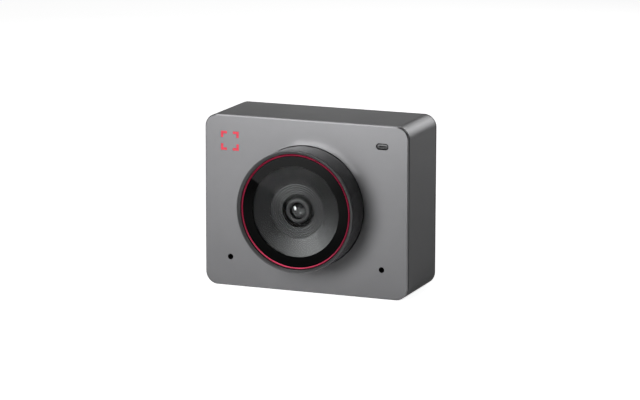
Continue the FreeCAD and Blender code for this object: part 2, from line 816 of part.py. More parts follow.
def status_light():
    """The light window in the front cover, and the lamp and board behind it."""
    flange_back = plate_back_y + led_flange_thickness
    lamp_front = flange_back + led_air_gap
    board_front = lamp_front + led_thickness
    width = led_window_width - 2 * thread_gap
    height = led_window_height - 2 * thread_gap
    window = pill(led_x, led_z, width, height, front_y + led_window_recess, plate_back_y)
    parts = [block(led_x, led_z, led_flange_width, led_flange_height, plate_back_y, flange_back)]
    for side in SIDES:
        x = led_x + side * (led_flange_width - led_leg_width) / 2
        parts.append(block(x, led_z, led_leg_width, led_flange_height, flange_back, board_front))
    save("light_guide", window.fuse(parts).removeSplitter())
    save("status_led", block(led_x, led_z, led_width, led_height, lamp_front, board_front))
    board_back = board_front + led_board_thickness
    save("led_board", block(led_x, led_z, led_board_width, led_board_height, board_front, board_back))


def tripod_socket():
    """The threaded nut in the base, and the bracket that holds it down inside."""
    flange_top = sleeve_wall + nut_flange_thickness
    nut = Part.makeCylinder(nut_radius, nut_height)
    nut = nut.fuse(Part.makeCylinder(nut_flange_radius, nut_flange_thickness, V(0, 0, sleeve_wall)))
    save("tripod_nut", nut.cut(Part.makeCylinder(socket_bore_radius, socket_depth)))
    corner = V(-bracket_width / 2, -bracket_depth / 2, flange_top)
    bracket = Part.makeBox(bracket_width, bracket_depth, bracket_thickness, corner)
    holes = [Part.makeCylinder(nut_radius + slip_gap, bracket_thickness, V(0, 0, flange_top))]
    screws = []
    bracket_top = flange_top + bracket_thickness
    for side in SIDES:
        x = side * bracket_screw_x
        holes.append(Part.makeCylinder(small_screw_radius + slip_gap, bracket_thickness, V(x, 0, flange_top)))
        length = small_screw_grip + bracket_thickness
        shank = Part.makeCylinder(small_screw_radius, length, V(x, 0, bracket_top - length))
        head = Part.makeCylinder(small_head_radius, small_head_height, V(x, 0, bracket_top))
        screws.append(shank.fuse(head))
    save("mount_bracket", bracket.cut(holes))
    save("bracket_screws", *screws)


def fasteners():
    """The screws that run front to back, one group for each job."""
    head = (small_screw_radius, small_head_radius, small_head_height)
    tip = plate_back_y - small_screw_grip
    save("housing_screws", *[screw(x, z, *head, flange_back_y, tip) for x, z in ear_places()])
    tip = sensor_board_y - small_screw_grip
    save("sensor_screws", *[screw(x, z, *head, sensor_board_back_y, tip) for x, z in sensor_screw_places()])
    tip = main_board_back_y + small_screw_grip
    save("main_board_screws", *[screw(x, z, *head, main_board_front_y, tip) for x, z in main_screw_places()])
    seat = back_y - rear_head_recess - rear_head_height
    tip = post_split_y - rear_screw_grip
    crossed = []
    for x, z in post_places():
        body = screw(x, z, rear_screw_radius, rear_head_radius, rear_head_height, seat, tip)
        top = seat + rear_head_height
        planes = (top - cross_slot_depth, top)
        slots = [block(x, z, cross_slot_length, cross_slot_width, *planes)]
        slots.append(block(x, z, cross_slot_width, cross_slot_length, *planes))
        crossed.append(body.cut(slots))
    save("rear_screws", *crossed)


os.makedirs("parts", exist_ok=True)
front_cover()
body_sleeve()
rear_cover()
lens_housing()
barrel_front_pieces()
stepped_shroud()
lens_unit()
focus_unit()
sensor_unit()
board_flex()
main_board()
plug_socket()
microphone_units()
status_light()
save("corner_marks", *corner_mark_arms(front_y, front_y + mark_depth))
tripod_socket()
fasteners()
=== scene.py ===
import json
import math

import bmesh
import bpy
from mathutils import Matrix, Vector
from mathutils.geometry import normal


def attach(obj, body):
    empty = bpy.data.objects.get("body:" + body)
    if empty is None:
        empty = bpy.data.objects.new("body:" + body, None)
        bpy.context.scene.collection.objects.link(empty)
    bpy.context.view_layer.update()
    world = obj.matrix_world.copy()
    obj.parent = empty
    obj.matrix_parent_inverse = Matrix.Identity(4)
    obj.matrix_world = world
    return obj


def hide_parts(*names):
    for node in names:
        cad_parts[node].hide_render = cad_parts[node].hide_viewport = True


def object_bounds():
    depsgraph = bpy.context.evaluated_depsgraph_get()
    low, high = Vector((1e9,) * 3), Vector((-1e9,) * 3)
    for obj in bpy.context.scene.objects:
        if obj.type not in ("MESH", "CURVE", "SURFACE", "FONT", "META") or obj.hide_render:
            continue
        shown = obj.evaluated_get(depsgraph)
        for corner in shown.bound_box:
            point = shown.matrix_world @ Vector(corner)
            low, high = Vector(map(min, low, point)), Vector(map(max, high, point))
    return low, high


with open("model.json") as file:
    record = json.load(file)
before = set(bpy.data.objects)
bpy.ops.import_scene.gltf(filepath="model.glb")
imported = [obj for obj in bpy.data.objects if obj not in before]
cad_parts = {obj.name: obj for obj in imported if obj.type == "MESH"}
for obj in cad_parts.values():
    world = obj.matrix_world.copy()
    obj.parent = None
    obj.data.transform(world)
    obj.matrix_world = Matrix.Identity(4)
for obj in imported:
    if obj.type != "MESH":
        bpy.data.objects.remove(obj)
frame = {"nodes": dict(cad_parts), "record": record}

CAD_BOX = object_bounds()

# Sizes in millimetres, as in the part's own source. Each piece is scaled to metres when it is finished.
METRE = 0.001
LOW, HIGH = ([round(value / METRE, 3) for value in corner] for corner in CAD_BOX)
BODY_WIDTH = HIGH[0] - LOW[0]
BODY_HEIGHT = HIGH[2]
BACK_Y = HIGH[1]
RIM_Y = LOW[1]
FRONT_Y = -BACK_Y
CORNER_RADIUS = 3.2
LENS_Z = BODY_HEIGHT / 2

# Covers and sleeve
PLATE_BACK_Y = -8.2
COVER_INSIDE_Y = 8.4
SLEEVE_FRONT_Y = -9.5
SLEEVE_BACK_Y = 9.25
WALL = 1.5
MARK_PLACE = (-20.3, 36.9)
MARK_DEPTH = 0.3
LIGHT_PLACE = (20.18, 38.25)
LIGHT_OPENING = (3.25, 1.55)
LIGHT_WINDOW = (3.19, 1.49)
MICROPHONES = [(-20.18, 7.4), (20.18, 7.4)]
MICROPHONE_RADIUS = 0.7
PLUG_Z = 14.0

# Screws
POSTS = [(x, z) for x in (-22.8, 22.8) for z in (12.7, 30.7)]
EARS = [(x, LENS_Z + z) for x in (-12.629, 12.629) for z in (-12.629, 12.629)]
SENSOR_SCREWS = [(x, LENS_Z + z) for x in (-9.897, 9.897) for z in (-7.404, 7.404)]
BOARD_SCREWS = [(x, z) for x in (-17.3, 17.3) for z in (11.0, 36.9)]
POST_RADIUS = 2.0
SMALL_SCREW_HOLE = 0.83

# Barrel, glass and lens
BARREL_RADIUS = 15.36
BARREL_HOLE = 15.46
HOUSING_BACK_Y = -7.0
ACCENT_RADIUS = 14.47
GLASS_RADIUS = 13.91
WINDOW_RADIUS = 11.41
GLASS_FRONT_Y = -17.2
GLASS_BACK_Y = -16.5
SHROUD_FRONT_Y = -16.4
SHROUD_BACK_Y = -15.4
STEPS_RADIUS = 7.0
STEP_WIDTH = 0.56
STEP_DEPTH = 0.11
WELL_RADIUS = 4.2
# Behind this depth the lens barrel is painted near-black as painted shade.
NOSE_SHADE_Y = -15.0
ELEMENT_FRONT_Y = -14.7
ELEMENT_BACK_Y = -14.0
ELEMENT_CLEAR = 2.1
ELEMENT_RADIUS = 2.7

# How finely round shapes are divided, and from what angle on an edge looks sharp
RING_STEPS = 160
LENS_STEPS = 96
CORNER_STEPS = 14
SHARP_ANGLE = math.radians(32)


# Mesh helpers


def outline(x, z, width, height, radius, y, steps=CORNER_STEPS):
    """The corner-rounded outline of a rectangle that faces along Y."""
    shape = bmesh.new()
    place = Matrix.Translation((x, y, z)) @ Matrix.Rotation(math.pi / 2, 4, "X")
    place = place @ Matrix.Diagonal((width / 2, height / 2, 1, 1))
    bmesh.ops.create_grid(shape, x_segments=1, y_segments=1, size=1, matrix=place)
    soften(shape, shape.verts[:], radius, steps, "VERTICES")
    points = [vert.co.copy() for vert in shape.faces[:][0].verts]
    shape.free()
    return points


def circle(x, z, radius, y, steps=48):
    """A circle that faces along Y."""
    shape = bmesh.new()
    place = Matrix.Translation((x, y, z)) @ Matrix.Rotation(math.pi / 2, 4, "X")
    bmesh.ops.create_circle(shape, cap_ends=False, radius=radius, segments=steps, matrix=place)
    points = [vert.co.copy() for vert in shape.verts]
    shape.free()
    return points


def flat_circle(x, radius, z, steps):
    """A circle that faces up, in the middle of the base's depth."""
    return [Vector((point.x, point.z, z)) for point in circle(x, 0, radius, 0, steps)]


def body_outline(inset, y):
    """The body's outline, drawn in by this much all round."""
    width = BODY_WIDTH - 2 * inset
    height = BODY_HEIGHT - 2 * inset
    return outline(0, LENS_Z, width, height, max(CORNER_RADIUS - inset, 0.1), y)


def pill(x, z, width, height, y, steps=12):
    """The outline of a slot with round ends that faces along Y."""
    return outline(x, z, width, height, height / 2 - 0.002, y, steps)


def soften(bm, geometry, size, steps=3, affect="EDGES"):
    """Rounds these edges or corners."""
    bmesh.ops.bevel(
        bm, geom=geometry, affect=affect, offset=size, offset_type="OFFSET", segments=steps, profile=0.5,
        material=-1,
    )


def loop(bm, points):
    """Lays a closed loop of edges through these points."""
    verts = [bm.verts.new(point) for point in points]
    return [bm.edges.new(pair) for pair in zip(verts, verts[1:] + verts[:1])]


def middle(points):
    """The mean of these points."""
    return sum(points, Vector()) / len(points)


def band(bm, near, far):
    """Lays faces from loop to loop.

    The far loop steps aside meanwhile, so that two loops in one plane pair up squarely.
    """
    near_points, far_points = ([edge.verts[0].co.copy() for edge in each] for each in (near, far))
    distance = 5.0
    aside = normal(near_points) * distance
    if (middle(far_points) - middle(near_points)).dot(aside) < 0:
        aside.negate()
    verts = list({vert for edge in far for vert in edge.verts})
    bmesh.ops.translate(bm, verts=verts, vec=aside)
    bmesh.ops.bridge_loops(bm, edges=near + far)
    bmesh.ops.translate(bm, verts=verts, vec=-aside)


def skin(bm, loops):
    """Lays a band of faces from each loop to the next, and gives back the first and last loop."""
    edges = [loop(bm, points) for points in loops]
    for near, far in zip(edges, edges[1:]):
        band(bm, near, far)
    return edges[0], edges[-1]


def fill(bm, *loops):
    """Closes the flat region between these loops."""
    edges = [edge for each in loops for edge in each]
    bmesh.ops.triangle_fill(bm, use_beauty=True, use_dissolve=False, edges=edges)


def solid(bm, loops):
    """Lays a closed shape through these loops."""
    for end in skin(bm, loops):
        fill(bm, end)


def sleeve_round(bm, x, z, outer, inner, y_front, y_back, steps=32):
    """A short tube along Y, such as a post round its screw hole."""
    rings = [(outer, y_front), (outer, y_back), (inner, y_back), (inner, y_front)]
    edges = [loop(bm, circle(x, z, radius, y, steps)) for radius, y in rings]
    for near, far in zip(edges, edges[1:] + edges[:1]):
        band(bm, near, far)


def wire(bm, corners):
    """The half section of a turned piece. A corner is its radius, its y and the size of its rounding."""
    verts = [bm.verts.new((corner[0], corner[1], LENS_Z)) for corner in corners]
    for pair in zip(verts, verts[1:]):
        bm.edges.new(pair)
    if corners[0][0] > 0:
        bm.edges.new((verts[-1], verts[0]))
    for vert, corner in zip(verts, corners):
        if len(corner) > 2:
            soften(bm, [vert], corner[2], 3, "VERTICES")


def turn(bm, steps=RING_STEPS):
    """Turns the wire about the lens axis."""
    bmesh.ops.spin(
        bm, geom=bm.verts[:] + bm.edges[:], cent=(0, 0, LENS_Z), axis=(0, 1, 0), dvec=(0, 0, 0),
        angle=2 * math.pi, steps=steps, use_merge=True, use_duplicate=False,
    )
    bmesh.ops.remove_doubles(bm, verts=bm.verts[:], dist=0.0001)


def arc(bm, clear, y, rise, steps=10):
    """A part of a circle from the lens axis out to a clear radius. Its top stands forward of y by rise."""
    sphere = (clear ** 2 + rise ** 2) / (2 * rise)
    top = bm.verts.new((0, y - rise, LENS_Z))
    centre = (0, y - rise + sphere, LENS_Z)
    bmesh.ops.spin(
        bm, geom=[top], cent=centre, axis=(0, 0, 1), dvec=(0, 0, 0), angle=math.asin(clear / sphere),
        steps=steps, use_merge=False, use_duplicate=False,
    )


def add_object(name, data):
    """Puts an object with this data into the scene."""
    made = bpy.data.objects.new(name, data)
    bpy.context.scene.collection.objects.link(made)
    return made


def finished(name, bm, material, cad_node, body="camera_body"):
    """Turns the mesh's faces outwards, scales it to metres and hands it over as a piece on its CAD body."""
    bmesh.ops.recalc_face_normals(bm, faces=bm.faces[:])
    bmesh.ops.scale(bm, vec=(METRE, METRE, METRE), verts=bm.verts[:])
    mesh = bpy.data.meshes.new(name)
    bm.to_mesh(mesh)
    bm.free()
    mesh.shade_smooth()
    mesh.set_sharp_from_angle(angle=SHARP_ANGLE)
    mesh.materials.append(material)
    piece = add_object(name, mesh)
    piece.modifiers.new("even_shading", "WEIGHTED_NORMAL").keep_sharp = True
    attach(piece, body)
    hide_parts(cad_node)
    return piece


def add_finish(piece, material, chosen):
    """Gives the faces that the test chooses one more finish."""
    number = len(piece.data.materials)
    piece.data.materials.append(material)
    for face in piece.data.polygons:
        if chosen(face):
            face.material_index = number


def lens_radius(face):
    """How far a finished face's middle lies from the lens axis, in millimetres."""
    return math.hypot(face.center.x, face.center.z - LENS_Z * METRE) / METRE


# Node helpers


def new_group(name, inputs, outputs):
    """An empty shader node group that takes coordinates and these values."""
    group = bpy.data.node_groups.new(name, "ShaderNodeTree")
    for direction, labels in (("INPUT", ("Vector", *inputs)), ("OUTPUT", outputs)):
        for label in labels:
            kind = "NodeSocketVector" if label in ("Vector", "Normal") else "NodeSocketFloat"
            group.interface.new_socket(label, in_out=direction, socket_type=kind)
    return group, group.nodes.new("NodeGroupInput"), group.nodes.new("NodeGroupOutput")


def node(tree, kind, links=None, **settings):
    """Adds a node, sets what is named and joins its inputs to other nodes' outputs or to values."""
    made = tree.nodes.new(kind)
    for label, value in settings.items():
        setattr(made, label, value)
    for label, value in (links or {}).items():
        if isinstance(value, bpy.types.NodeSocket):
            tree.links.new(value, made.inputs[label])
        else:
            made.inputs[label].default_value = value
    return made


def set_inputs(made, **values):
    """Sets a node's inputs. An underscore stands for a space in a name."""
    for label, value in values.items():
        made.inputs[label.replace("_", " ")].default_value = value


def span(tree, value, low, high, first=0.0, last=1.0):
    """Maps a value from first to last onto low to high."""
    limits = {"Value": value, "From Min": first, "From Max": last, "To Min": low, "To Max": high}
    return node(tree, "ShaderNodeMapRange", limits).outputs["Result"]


def mix(tree, factor, first, second):
    """Blends two colours."""
    ends = [end if isinstance(end, bpy.types.NodeSocket) else (*end, 1) for end in (first, second)]
    blend = {"Factor": factor, 6: ends[0], 7: ends[1]}
    return node(tree, "ShaderNodeMix", blend, data_type="RGBA").outputs[2]


def maths(tree, operation, first, second=0.0, third=0.0):
    """Joins values by one sum or comparison."""
    made = node(tree, "ShaderNodeMath", {0: first, 1: second, 2: third}, operation=operation)
    return made.outputs[0]


def about_lens(tree, where):
    """Coordinates whose origin lies on the lens axis."""
    place = (0, 0, -LENS_Z * METRE)
    return node(tree, "ShaderNodeMapping", {"Vector": where, "Location": place}).outputs["Vector"]


def bumped(tree, height, distance, strength=1.0):
    """A normal that follows a height, for a relief of this distance in metres."""
    bump = node(tree, "ShaderNodeBump", {"Strength": strength, "Distance": distance, "Height": height})
    return bump.outputs["Normal"]


# Effects that several finishes share


def make_mottle():
    """Broad cloudy variation, from 0 to 1, with a finer layer over it."""
    group, start, end = new_group("mottle", ["Scale"], ["Value"])
    where, scale = start.outputs["Vector"], start.outputs["Scale"]
    finer = maths(group, "MULTIPLY", scale, 9.0)
    broad = node(group, "ShaderNodeTexNoise", {"Vector": where, "Scale": scale, "Detail": 4.0})
    fine = node(group, "ShaderNodeTexNoise", {"Vector": where, "Scale": finer, "Detail": 3.0})
    shares = {"Factor": 0.3, 2: broad.outputs["Fac"], 3: fine.outputs["Fac"]}
    both = node(group, "ShaderNodeMix", shares, data_type="FLOAT").outputs[0]
    group.links.new(span(group, both, 0, 1, 0.3, 0.7), end.inputs["Value"])
    return group


def make_grain():
    """Fine even grain, such as bead blasting or a mould's texture, as a normal. Its sizes are in mm."""
    group, start, end = new_group("grain", ["Size", "Depth"], ["Normal"])
    scale = maths(group, "DIVIDE", 1 / METRE, start.outputs["Size"])
    cloud = {"Vector": start.outputs["Vector"], "Scale": scale, "Detail": 2.0, "Roughness": 0.6}
    cells = node(group, "ShaderNodeTexNoise", cloud)
    depth = maths(group, "MULTIPLY", start.outputs["Depth"], METRE)
    group.links.new(bumped(group, cells.outputs["Fac"], depth), end.inputs["Normal"])
    return group


def make_edge_wear():
    """1 along outer edges, where handling has polished the surface, and 0 on flat ground."""
    group, start, end = new_group("edge wear", ["Amount"], ["Mask"])
    rounded = node(group, "ShaderNodeBevel", {"Radius": 0.15 * METRE}, samples=4).outputs["Normal"]
    true_normal = node(group, "ShaderNodeNewGeometry").outputs["True Normal"]
    alike = node(group, "ShaderNodeVectorMath", {0: rounded, 1: true_normal}, operation="DOT_PRODUCT")
    edge = span(group, alike.outputs["Value"], 0, 1, 0.98, 0.8)
    cloud = {"Vector": start.outputs["Vector"], "Scale": 900.0, "Detail": 3.0}
    noise = node(group, "ShaderNodeTexNoise", cloud).outputs["Fac"]
    broken = maths(group, "MULTIPLY", edge, span(group, noise, 0.3, 1.0))
    group.links.new(maths(group, "MULTIPLY", broken, start.outputs["Amount"]), end.inputs["Mask"])
    return group


def make_turning():
    """The fine rings that a lathe leaves about the lens axis, as a value and as a normal."""
    group, start, end = new_group("turning rings", ["Pitch", "Depth"], ["Value", "Normal"])
    centred = about_lens(group, start.outputs["Vector"])
    flat = node(group, "ShaderNodeVectorMath", {0: centred, 1: (1, 0, 1)}, operation="MULTIPLY")
    radius = node(group, "ShaderNodeVectorMath", {0: flat.outputs["Vector"]}, operation="LENGTH")
    pitch = maths(group, "MULTIPLY", start.outputs["Pitch"], METRE)
    steps = maths(group, "DIVIDE", radius.outputs["Value"], pitch)
    lines = {"W": steps, "Scale": 1.0, "Detail": 2.0}
    along = node(group, "ShaderNodeTexNoise", lines, noise_dimensions="1D").outputs["Fac"]
    depth = maths(group, "MULTIPLY", start.outputs["Depth"], METRE)
    group.links.new(along, end.inputs["Value"])
    group.links.new(bumped(group, along, depth), end.inputs["Normal"])
    return group


GROUPS = {"mottle": make_mottle(), "grain": make_grain(), "edge": make_edge_wear(), "turning": make_turning()}


def place_group(tree, name, where, **values):
    """Puts a shared effect into a material, with the material's own values."""
    made = node(tree, "ShaderNodeGroup", node_tree=GROUPS[name])
    tree.links.new(where, made.inputs["Vector"])
    set_inputs(made, **values)
    return made


# Finishes


def shades(colour, shift):
    """A darker and a lighter shade of a colour."""
    return [part * (1 - shift) for part in colour], [min(part * (1 + shift), 1) for part in colour]


def worn(tree, where, tone, colour, amount, gain=1.6, lift=0.02):
    """Lays the brighter colour of worn edges over a tone."""
    mask = place_group(tree, "edge", where, Amount=amount).outputs["Mask"]
    return mix(tree, mask, tone, [min(part * gain + lift, 1) for part in colour])


def new_material(name):
    """An empty material with its Principled shader and the object's own coordinates."""
    material = bpy.data.materials.new(name)
    material.use_nodes = True
    tree = material.node_tree
    where = node(tree, "ShaderNodeTexCoord").outputs["Object"]
    return material, tree, tree.nodes["Principled BSDF"], where


def set_shader(tree, shader, tone, rough, relief, **plain):
    """Joins colour, roughness and relief to the shader, and sets its plain sockets."""
    tree.links.new(tone, shader.inputs["Base Color"])
    tree.links.new(rough, shader.inputs["Roughness"])
    tree.links.new(relief, shader.inputs["Normal"])
    set_inputs(shader, **plain)


def finish_material(
    name, colour, roughness, metallic=0.0, shift=0.12, grain=(0.1, 0.003), scale=80.0, edge=0.0, **extra
):
    """A moulded, blasted or plated finish: mottled colour and roughness, fine grain and polished edges."""
    material, tree, shader, where = new_material(name)
    clouds = place_group(tree, "mottle", where, Scale=scale).outputs["Value"]
    tone = mix(tree, clouds, *shades(colour, shift))
    rough = span(tree, clouds, roughness * 0.92, min(roughness * 1.08, 1))
    if edge:
        tone = worn(tree, where, tone, colour, edge)
    texture = place_group(tree, "grain", where, Size=grain[0], Depth=grain[1])
    set_shader(tree, shader, tone, rough, texture.outputs["Normal"], Metallic=metallic, **extra)
    return material


def turned_material(name, colour, roughness, metallic, pitch, depth, shift=0.1, edge=0.0, **extra):
    """A finish with the fine rings of turning about the lens axis."""
    material, tree, shader, where = new_material(name)
    rings = place_group(tree, "turning", where, Pitch=pitch, Depth=depth)
    clouds = place_group(tree, "mottle", where, Scale=120.0).outputs["Value"]
    tone = mix(tree, rings.outputs["Value"], *shades(colour, shift))
    if edge:
        tone = worn(tree, where, tone, colour, edge)
    rough = span(tree, clouds, roughness * 0.9, roughness * 1.1)
    set_shader(tree, shader, tone, rough, rings.outputs["Normal"], Metallic=metallic, **extra)
    return material


def grooved_material(name, pitch):
    """Dark plastic with shallow round grooves about the lens axis, at this pitch in millimetres. Its colour
    is darker along the grooves as painted shade in them.
    """
    material, tree, shader, where = new_material(name)
    wave = {"Vector": about_lens(tree, where), "Scale": math.pi / (10 * pitch * METRE), "Detail": 0.0}
    grooves = node(tree, "ShaderNodeTexWave", wave, wave_type="RINGS", rings_direction="Y").outputs["Fac"]
    clouds = place_group(tree, "mottle", where, Scale=120.0).outputs["Value"]
    relief = bumped(tree, grooves, 0.05 * METRE)
    # Painted shade: the colour darkens along each groove, besides the real relief.
    tone = mix(tree, grooves, (0.01, 0.01, 0.0103), (0.045, 0.045, 0.046))
    rough = span(tree, clouds, 0.27, 0.33)
    set_shader(tree, shader, tone, rough, relief, Specular_IOR_Level=0.1)
    return material


def clear_material(name, tint, reflection, level=0.5, bending=1.5):
    """Coated glass. Only seen and transmitted rays meet it, and all others pass straight through."""
    material, tree, shader, where = new_material(name)
    clouds = place_group(tree, "mottle", where, Scale=50.0).outputs["Value"]
    tree.links.new(mix(tree, clouds, [part * 0.985 for part in tint], tint), shader.inputs["Base Color"])
    tree.links.new(span(tree, clouds, 0.0105, 0.0195), shader.inputs["Roughness"])
    grey = (reflection, reflection, reflection, 1)
    set_inputs(shader, Transmission_Weight=1.0, IOR=bending, Specular_IOR_Level=level, Specular_Tint=grey)
    path = node(tree, "ShaderNodeLightPath").outputs
    seen = maths(tree, "MAXIMUM", path["Is Camera Ray"], path["Is Transmission Ray"])
    through = node(tree, "ShaderNodeBsdfTransparent", {"Color": (*tint, 1)})
    choice = node(tree, "ShaderNodeMixShader", {0: seen, 1: through.outputs[0], 2: shader.outputs[0]})
    tree.links.new(choice.outputs[0], tree.nodes["Material Output"].inputs["Surface"])
    return material


def board_material():
    """Green solder mask over copper tracks, with a scatter of plated holes."""
    material, tree, shader, where = new_material("board_solder_mask")
    turned = node(tree, "ShaderNodeMapping", {"Vector": where, "Rotation": (math.pi / 2, 0, 0)})
    layout = {
        "Vector": turned.outputs["Vector"], "Scale": 900.0, "Mortar Size": 0.09, "Mortar Smooth": 0.1,
        "Brick Width": 1.6, "Row Height": 0.45,
    }
    tracks = node(tree, "ShaderNodeTexBrick", layout, offset=0.37, squash=0.6, squash_frequency=3)
    holes = node(tree, "ShaderNodeTexVoronoi", {"Vector": where, "Scale": 520.0, "Randomness": 0.9})
    ring = span(tree, holes.outputs["Distance"], 0, 1, 0.14, 0.1)
    clouds = place_group(tree, "mottle", where, Scale=140.0).outputs["Value"]
    mask = mix(tree, clouds, (0.006, 0.06, 0.025), (0.012, 0.095, 0.042))
    raised = mix(tree, tracks.outputs["Fac"], (0.02, 0.15, 0.07), mask)
    relief = {"Strength": 0.6, "Distance": 0.03 * METRE, "Height": tracks.outputs["Fac"]}
    bump = node(tree, "ShaderNodeBump", relief, invert=True)
    tone = mix(tree, ring, raised, (0.62, 0.48, 0.2))
    set_shader(tree, shader, tone, span(tree, clouds, 0.28, 0.4), bump.outputs["Normal"])
    tree.links.new(ring, shader.inputs["Metallic"])
    return material


def winding_material():
    """Enamelled copper wire, wound side by side about the lens axis. Its colour is darkened below the
    enamel's as painted shade inside the lens.
    """
    material, tree, shader, where = new_material("coil_winding")
    wave = {"Vector": where, "Scale": 2600.0, "Distortion": 0.15, "Detail": 1.0}
    turns = node(tree, "ShaderNodeTexWave", wave, wave_type="BANDS", bands_direction="Y").outputs["Fac"]
    # Painted shade: the winding's colour is darkened below its enamel's, for the shade inside the lens.
    tone = mix(tree, turns, (0.008, 0.004, 0.0025), (0.035, 0.015, 0.008))
    relief = bumped(tree, turns, 0.04 * METRE, 0.9)
    set_shader(tree, shader, tone, span(tree, turns, 0.42, 0.24), relief, Metallic=0.4)
    return material


def brushed_material(name, colour, roughness, stretch):
    """Rolled or extruded metal, with fine lines that run along one direction."""
    material, tree, shader, where = new_material(name)
    lines = node(tree, "ShaderNodeMapping", {"Vector": where, "Scale": stretch}).outputs["Vector"]
    cloud = {"Vector": lines, "Scale": 400.0, "Detail": 4.0}
    streaks = node(tree, "ShaderNodeTexNoise", cloud).outputs["Fac"]
    tone = worn(tree, where, mix(tree, streaks, *shades(colour, 0.18)), colour, 0.4, 1.3, 0.05)
    rough = span(tree, streaks, roughness * 0.8, roughness * 1.25)
    relief = bumped(tree, streaks, 0.008 * METRE, 0.5)
    set_shader(tree, shader, tone, rough, relief, Metallic=1.0)
    return material


BLASTED_GREY = finish_material(
    "blasted_grey", (0.198, 0.198, 0.204), 0.42, 0.45, shift=0.04, grain=(0.09, 0.0022), scale=45.0, edge=0.35
)
CUT_EDGE = finish_material("cut_edge", (0.4, 0.4, 0.41), 0.3, 0.9, shift=0.05, grain=(0.06, 0.0008))
SLEEVE_GREY = finish_material(
    "sleeve_grey", (0.194, 0.194, 0.2), 0.42, 0.8, shift=0.05, grain=(0.09, 0.0022), scale=45.0, edge=0.25
)
BARREL_DARK = finish_material(
    "barrel_dark", (0.07, 0.0705, 0.072), 0.2, 0.25, shift=0.05, grain=(0.08, 0.0018), scale=60.0, edge=0.25
)
RIM_DARK = turned_material("rim_dark", (0.105, 0.106, 0.108), 0.38, 0.6, 0.12, 0.0006, edge=0.2)
CRIMSON = turned_material("crimson_anodised", (0.22, 0.001, 0.026), 0.36, 0.6, 0.14, 0.0006)
CRIMSON_INK = finish_material(
    "crimson_ink", (0.78, 0.026, 0.062), 0.42, shift=0.05, grain=(0.08, 0.001), scale=300.0
)
COVER_GLASS = clear_material("cover_glass_coated", (0.97, 0.98, 0.98), 0.12)
GLASS_INSIDE = clear_material("cover_glass_inside", (0.97, 0.98, 0.98), 0.0)
LENS_GLASS = clear_material("lens_glass_coated", (0.25, 0.26, 0.28), 1.0, level=1.0, bending=1.8)
BLACK_PRINT = finish_material("black_print", (0.003, 0.0032, 0.0032), 0.5, shift=0.2, grain=(0.06, 0.0005))
# Near-black for holes, pockets and the lens's depths: partly the dark inner parts' own colour, partly painted
# shade where the lamps would light them.
BLACK_LINING_AND_SHADE = finish_material("black_lining_and_painted_shade", (0.006, 0.006, 0.006), 0.8, shift=0.2, Specular_IOR_Level=0.1)
BLACK_BORDER = finish_material(
    "glass_over_black", (0.0003, 0.0004, 0.0004), 0.02, shift=0.15, grain=(0.3, 0.00002),
    Specular_IOR_Level=0.064,
)
BLACK_PLASTIC = finish_material(
    "black_plastic", (0.01, 0.01, 0.0105), 0.5, shift=0.15, grain=(0.08, 0.004), Specular_IOR_Level=0.25
)
CONTACT_GOLD = finish_material("contact_gold", (0.75, 0.56, 0.2), 0.22, 1.0, shift=0.08, grain=(0.04, 0.0004))
SHROUD = turned_material(
    "shroud_turned", (0.004, 0.004, 0.0042), 0.28, 0.0, 0.3, 0.0002, shift=0.14, Specular_IOR_Level=0.12
)
SHROUD_STEPS = grooved_material("shroud_steps", STEP_WIDTH)
LENS_BLACK = turned_material(
    "lens_black", (0.03, 0.03, 0.031), 0.4, 0.0, 0.12, 0.0008, shift=0.12, edge=0.25
)
BLACK_OXIDE = finish_material("black_oxide", (0.028, 0.028, 0.03), 0.36, 0.6, shift=0.2, edge=0.5)
SOCKET_BRASS = finish_material("socket_brass", (0.56, 0.42, 0.19), 0.26, 1.0, shift=0.1, edge=0.4)
SOFT_RUBBER = finish_material("soft_rubber", (0.022, 0.022, 0.022), 0.75, shift=0.2, grain=(0.1, 0.008))
LIGHT_PLASTIC = finish_material(
    "light_window", (0.05, 0.05, 0.052), 0.4, shift=0.1, grain=(0.08, 0.001), edge=0.3
)
PLATED_STEEL = brushed_material("plated_steel", (0.55, 0.55, 0.54), 0.28, (6, 1, 1))

# What dresses the CAD nodes that no piece replaces, by their slots
INNER_FINISHES = {
    "lens_glass": clear_material("inner_glass", (0.5, 0.52, 0.55), 0.15),
    "black_plastic": BLACK_PLASTIC,
    "copper": winding_material(),
    "magnet": finish_material(
        "magnet_plating", (0.36, 0.355, 0.35), 0.22, 1.0, shift=0.06, grain=(0.06, 0.001), edge=0.4
    ),
    # The spring is near-black: partly its black oxide, partly painted shade inside the lens.
    "spring_steel": finish_material(
        "blackened_spring_and_painted_shade", (0.005, 0.005, 0.0052), 0.6, shift=0.2, Specular_IOR_Level=0.1
    ),
    "board_green": board_material(),
    "chip_black": finish_material(
        "chip_moulding", (0.014, 0.014, 0.015), 0.55, shift=0.2, grain=(0.05, 0.004), edge=0.3
    ),
    "connector_plastic": finish_material("connector_plastic", (0.6, 0.55, 0.42), 0.4, shift=0.06, edge=0.1),
    "flex_film": finish_material(
        "flex_film", (0.42, 0.17, 0.02), 0.3, shift=0.2, grain=(0.3, 0.004), Coat_Weight=0.4
    ),
    "plated_steel": PLATED_STEEL,
    "pad_silicone": finish_material(
        "pad_silicone", (0.42, 0.46, 0.5), 0.62, shift=0.08, grain=(0.15, 0.006)
    ),
    "lamp_plastic": finish_material(
        "lamp_package", (0.8, 0.78, 0.55), 0.35, shift=0.06, grain=(0.05, 0.001)
    ),
    "plain_aluminium": brushed_material("plain_aluminium", (0.6, 0.6, 0.62), 0.32, (1, 1, 0.15)),
}


# Camera, from the fit to the body's edges


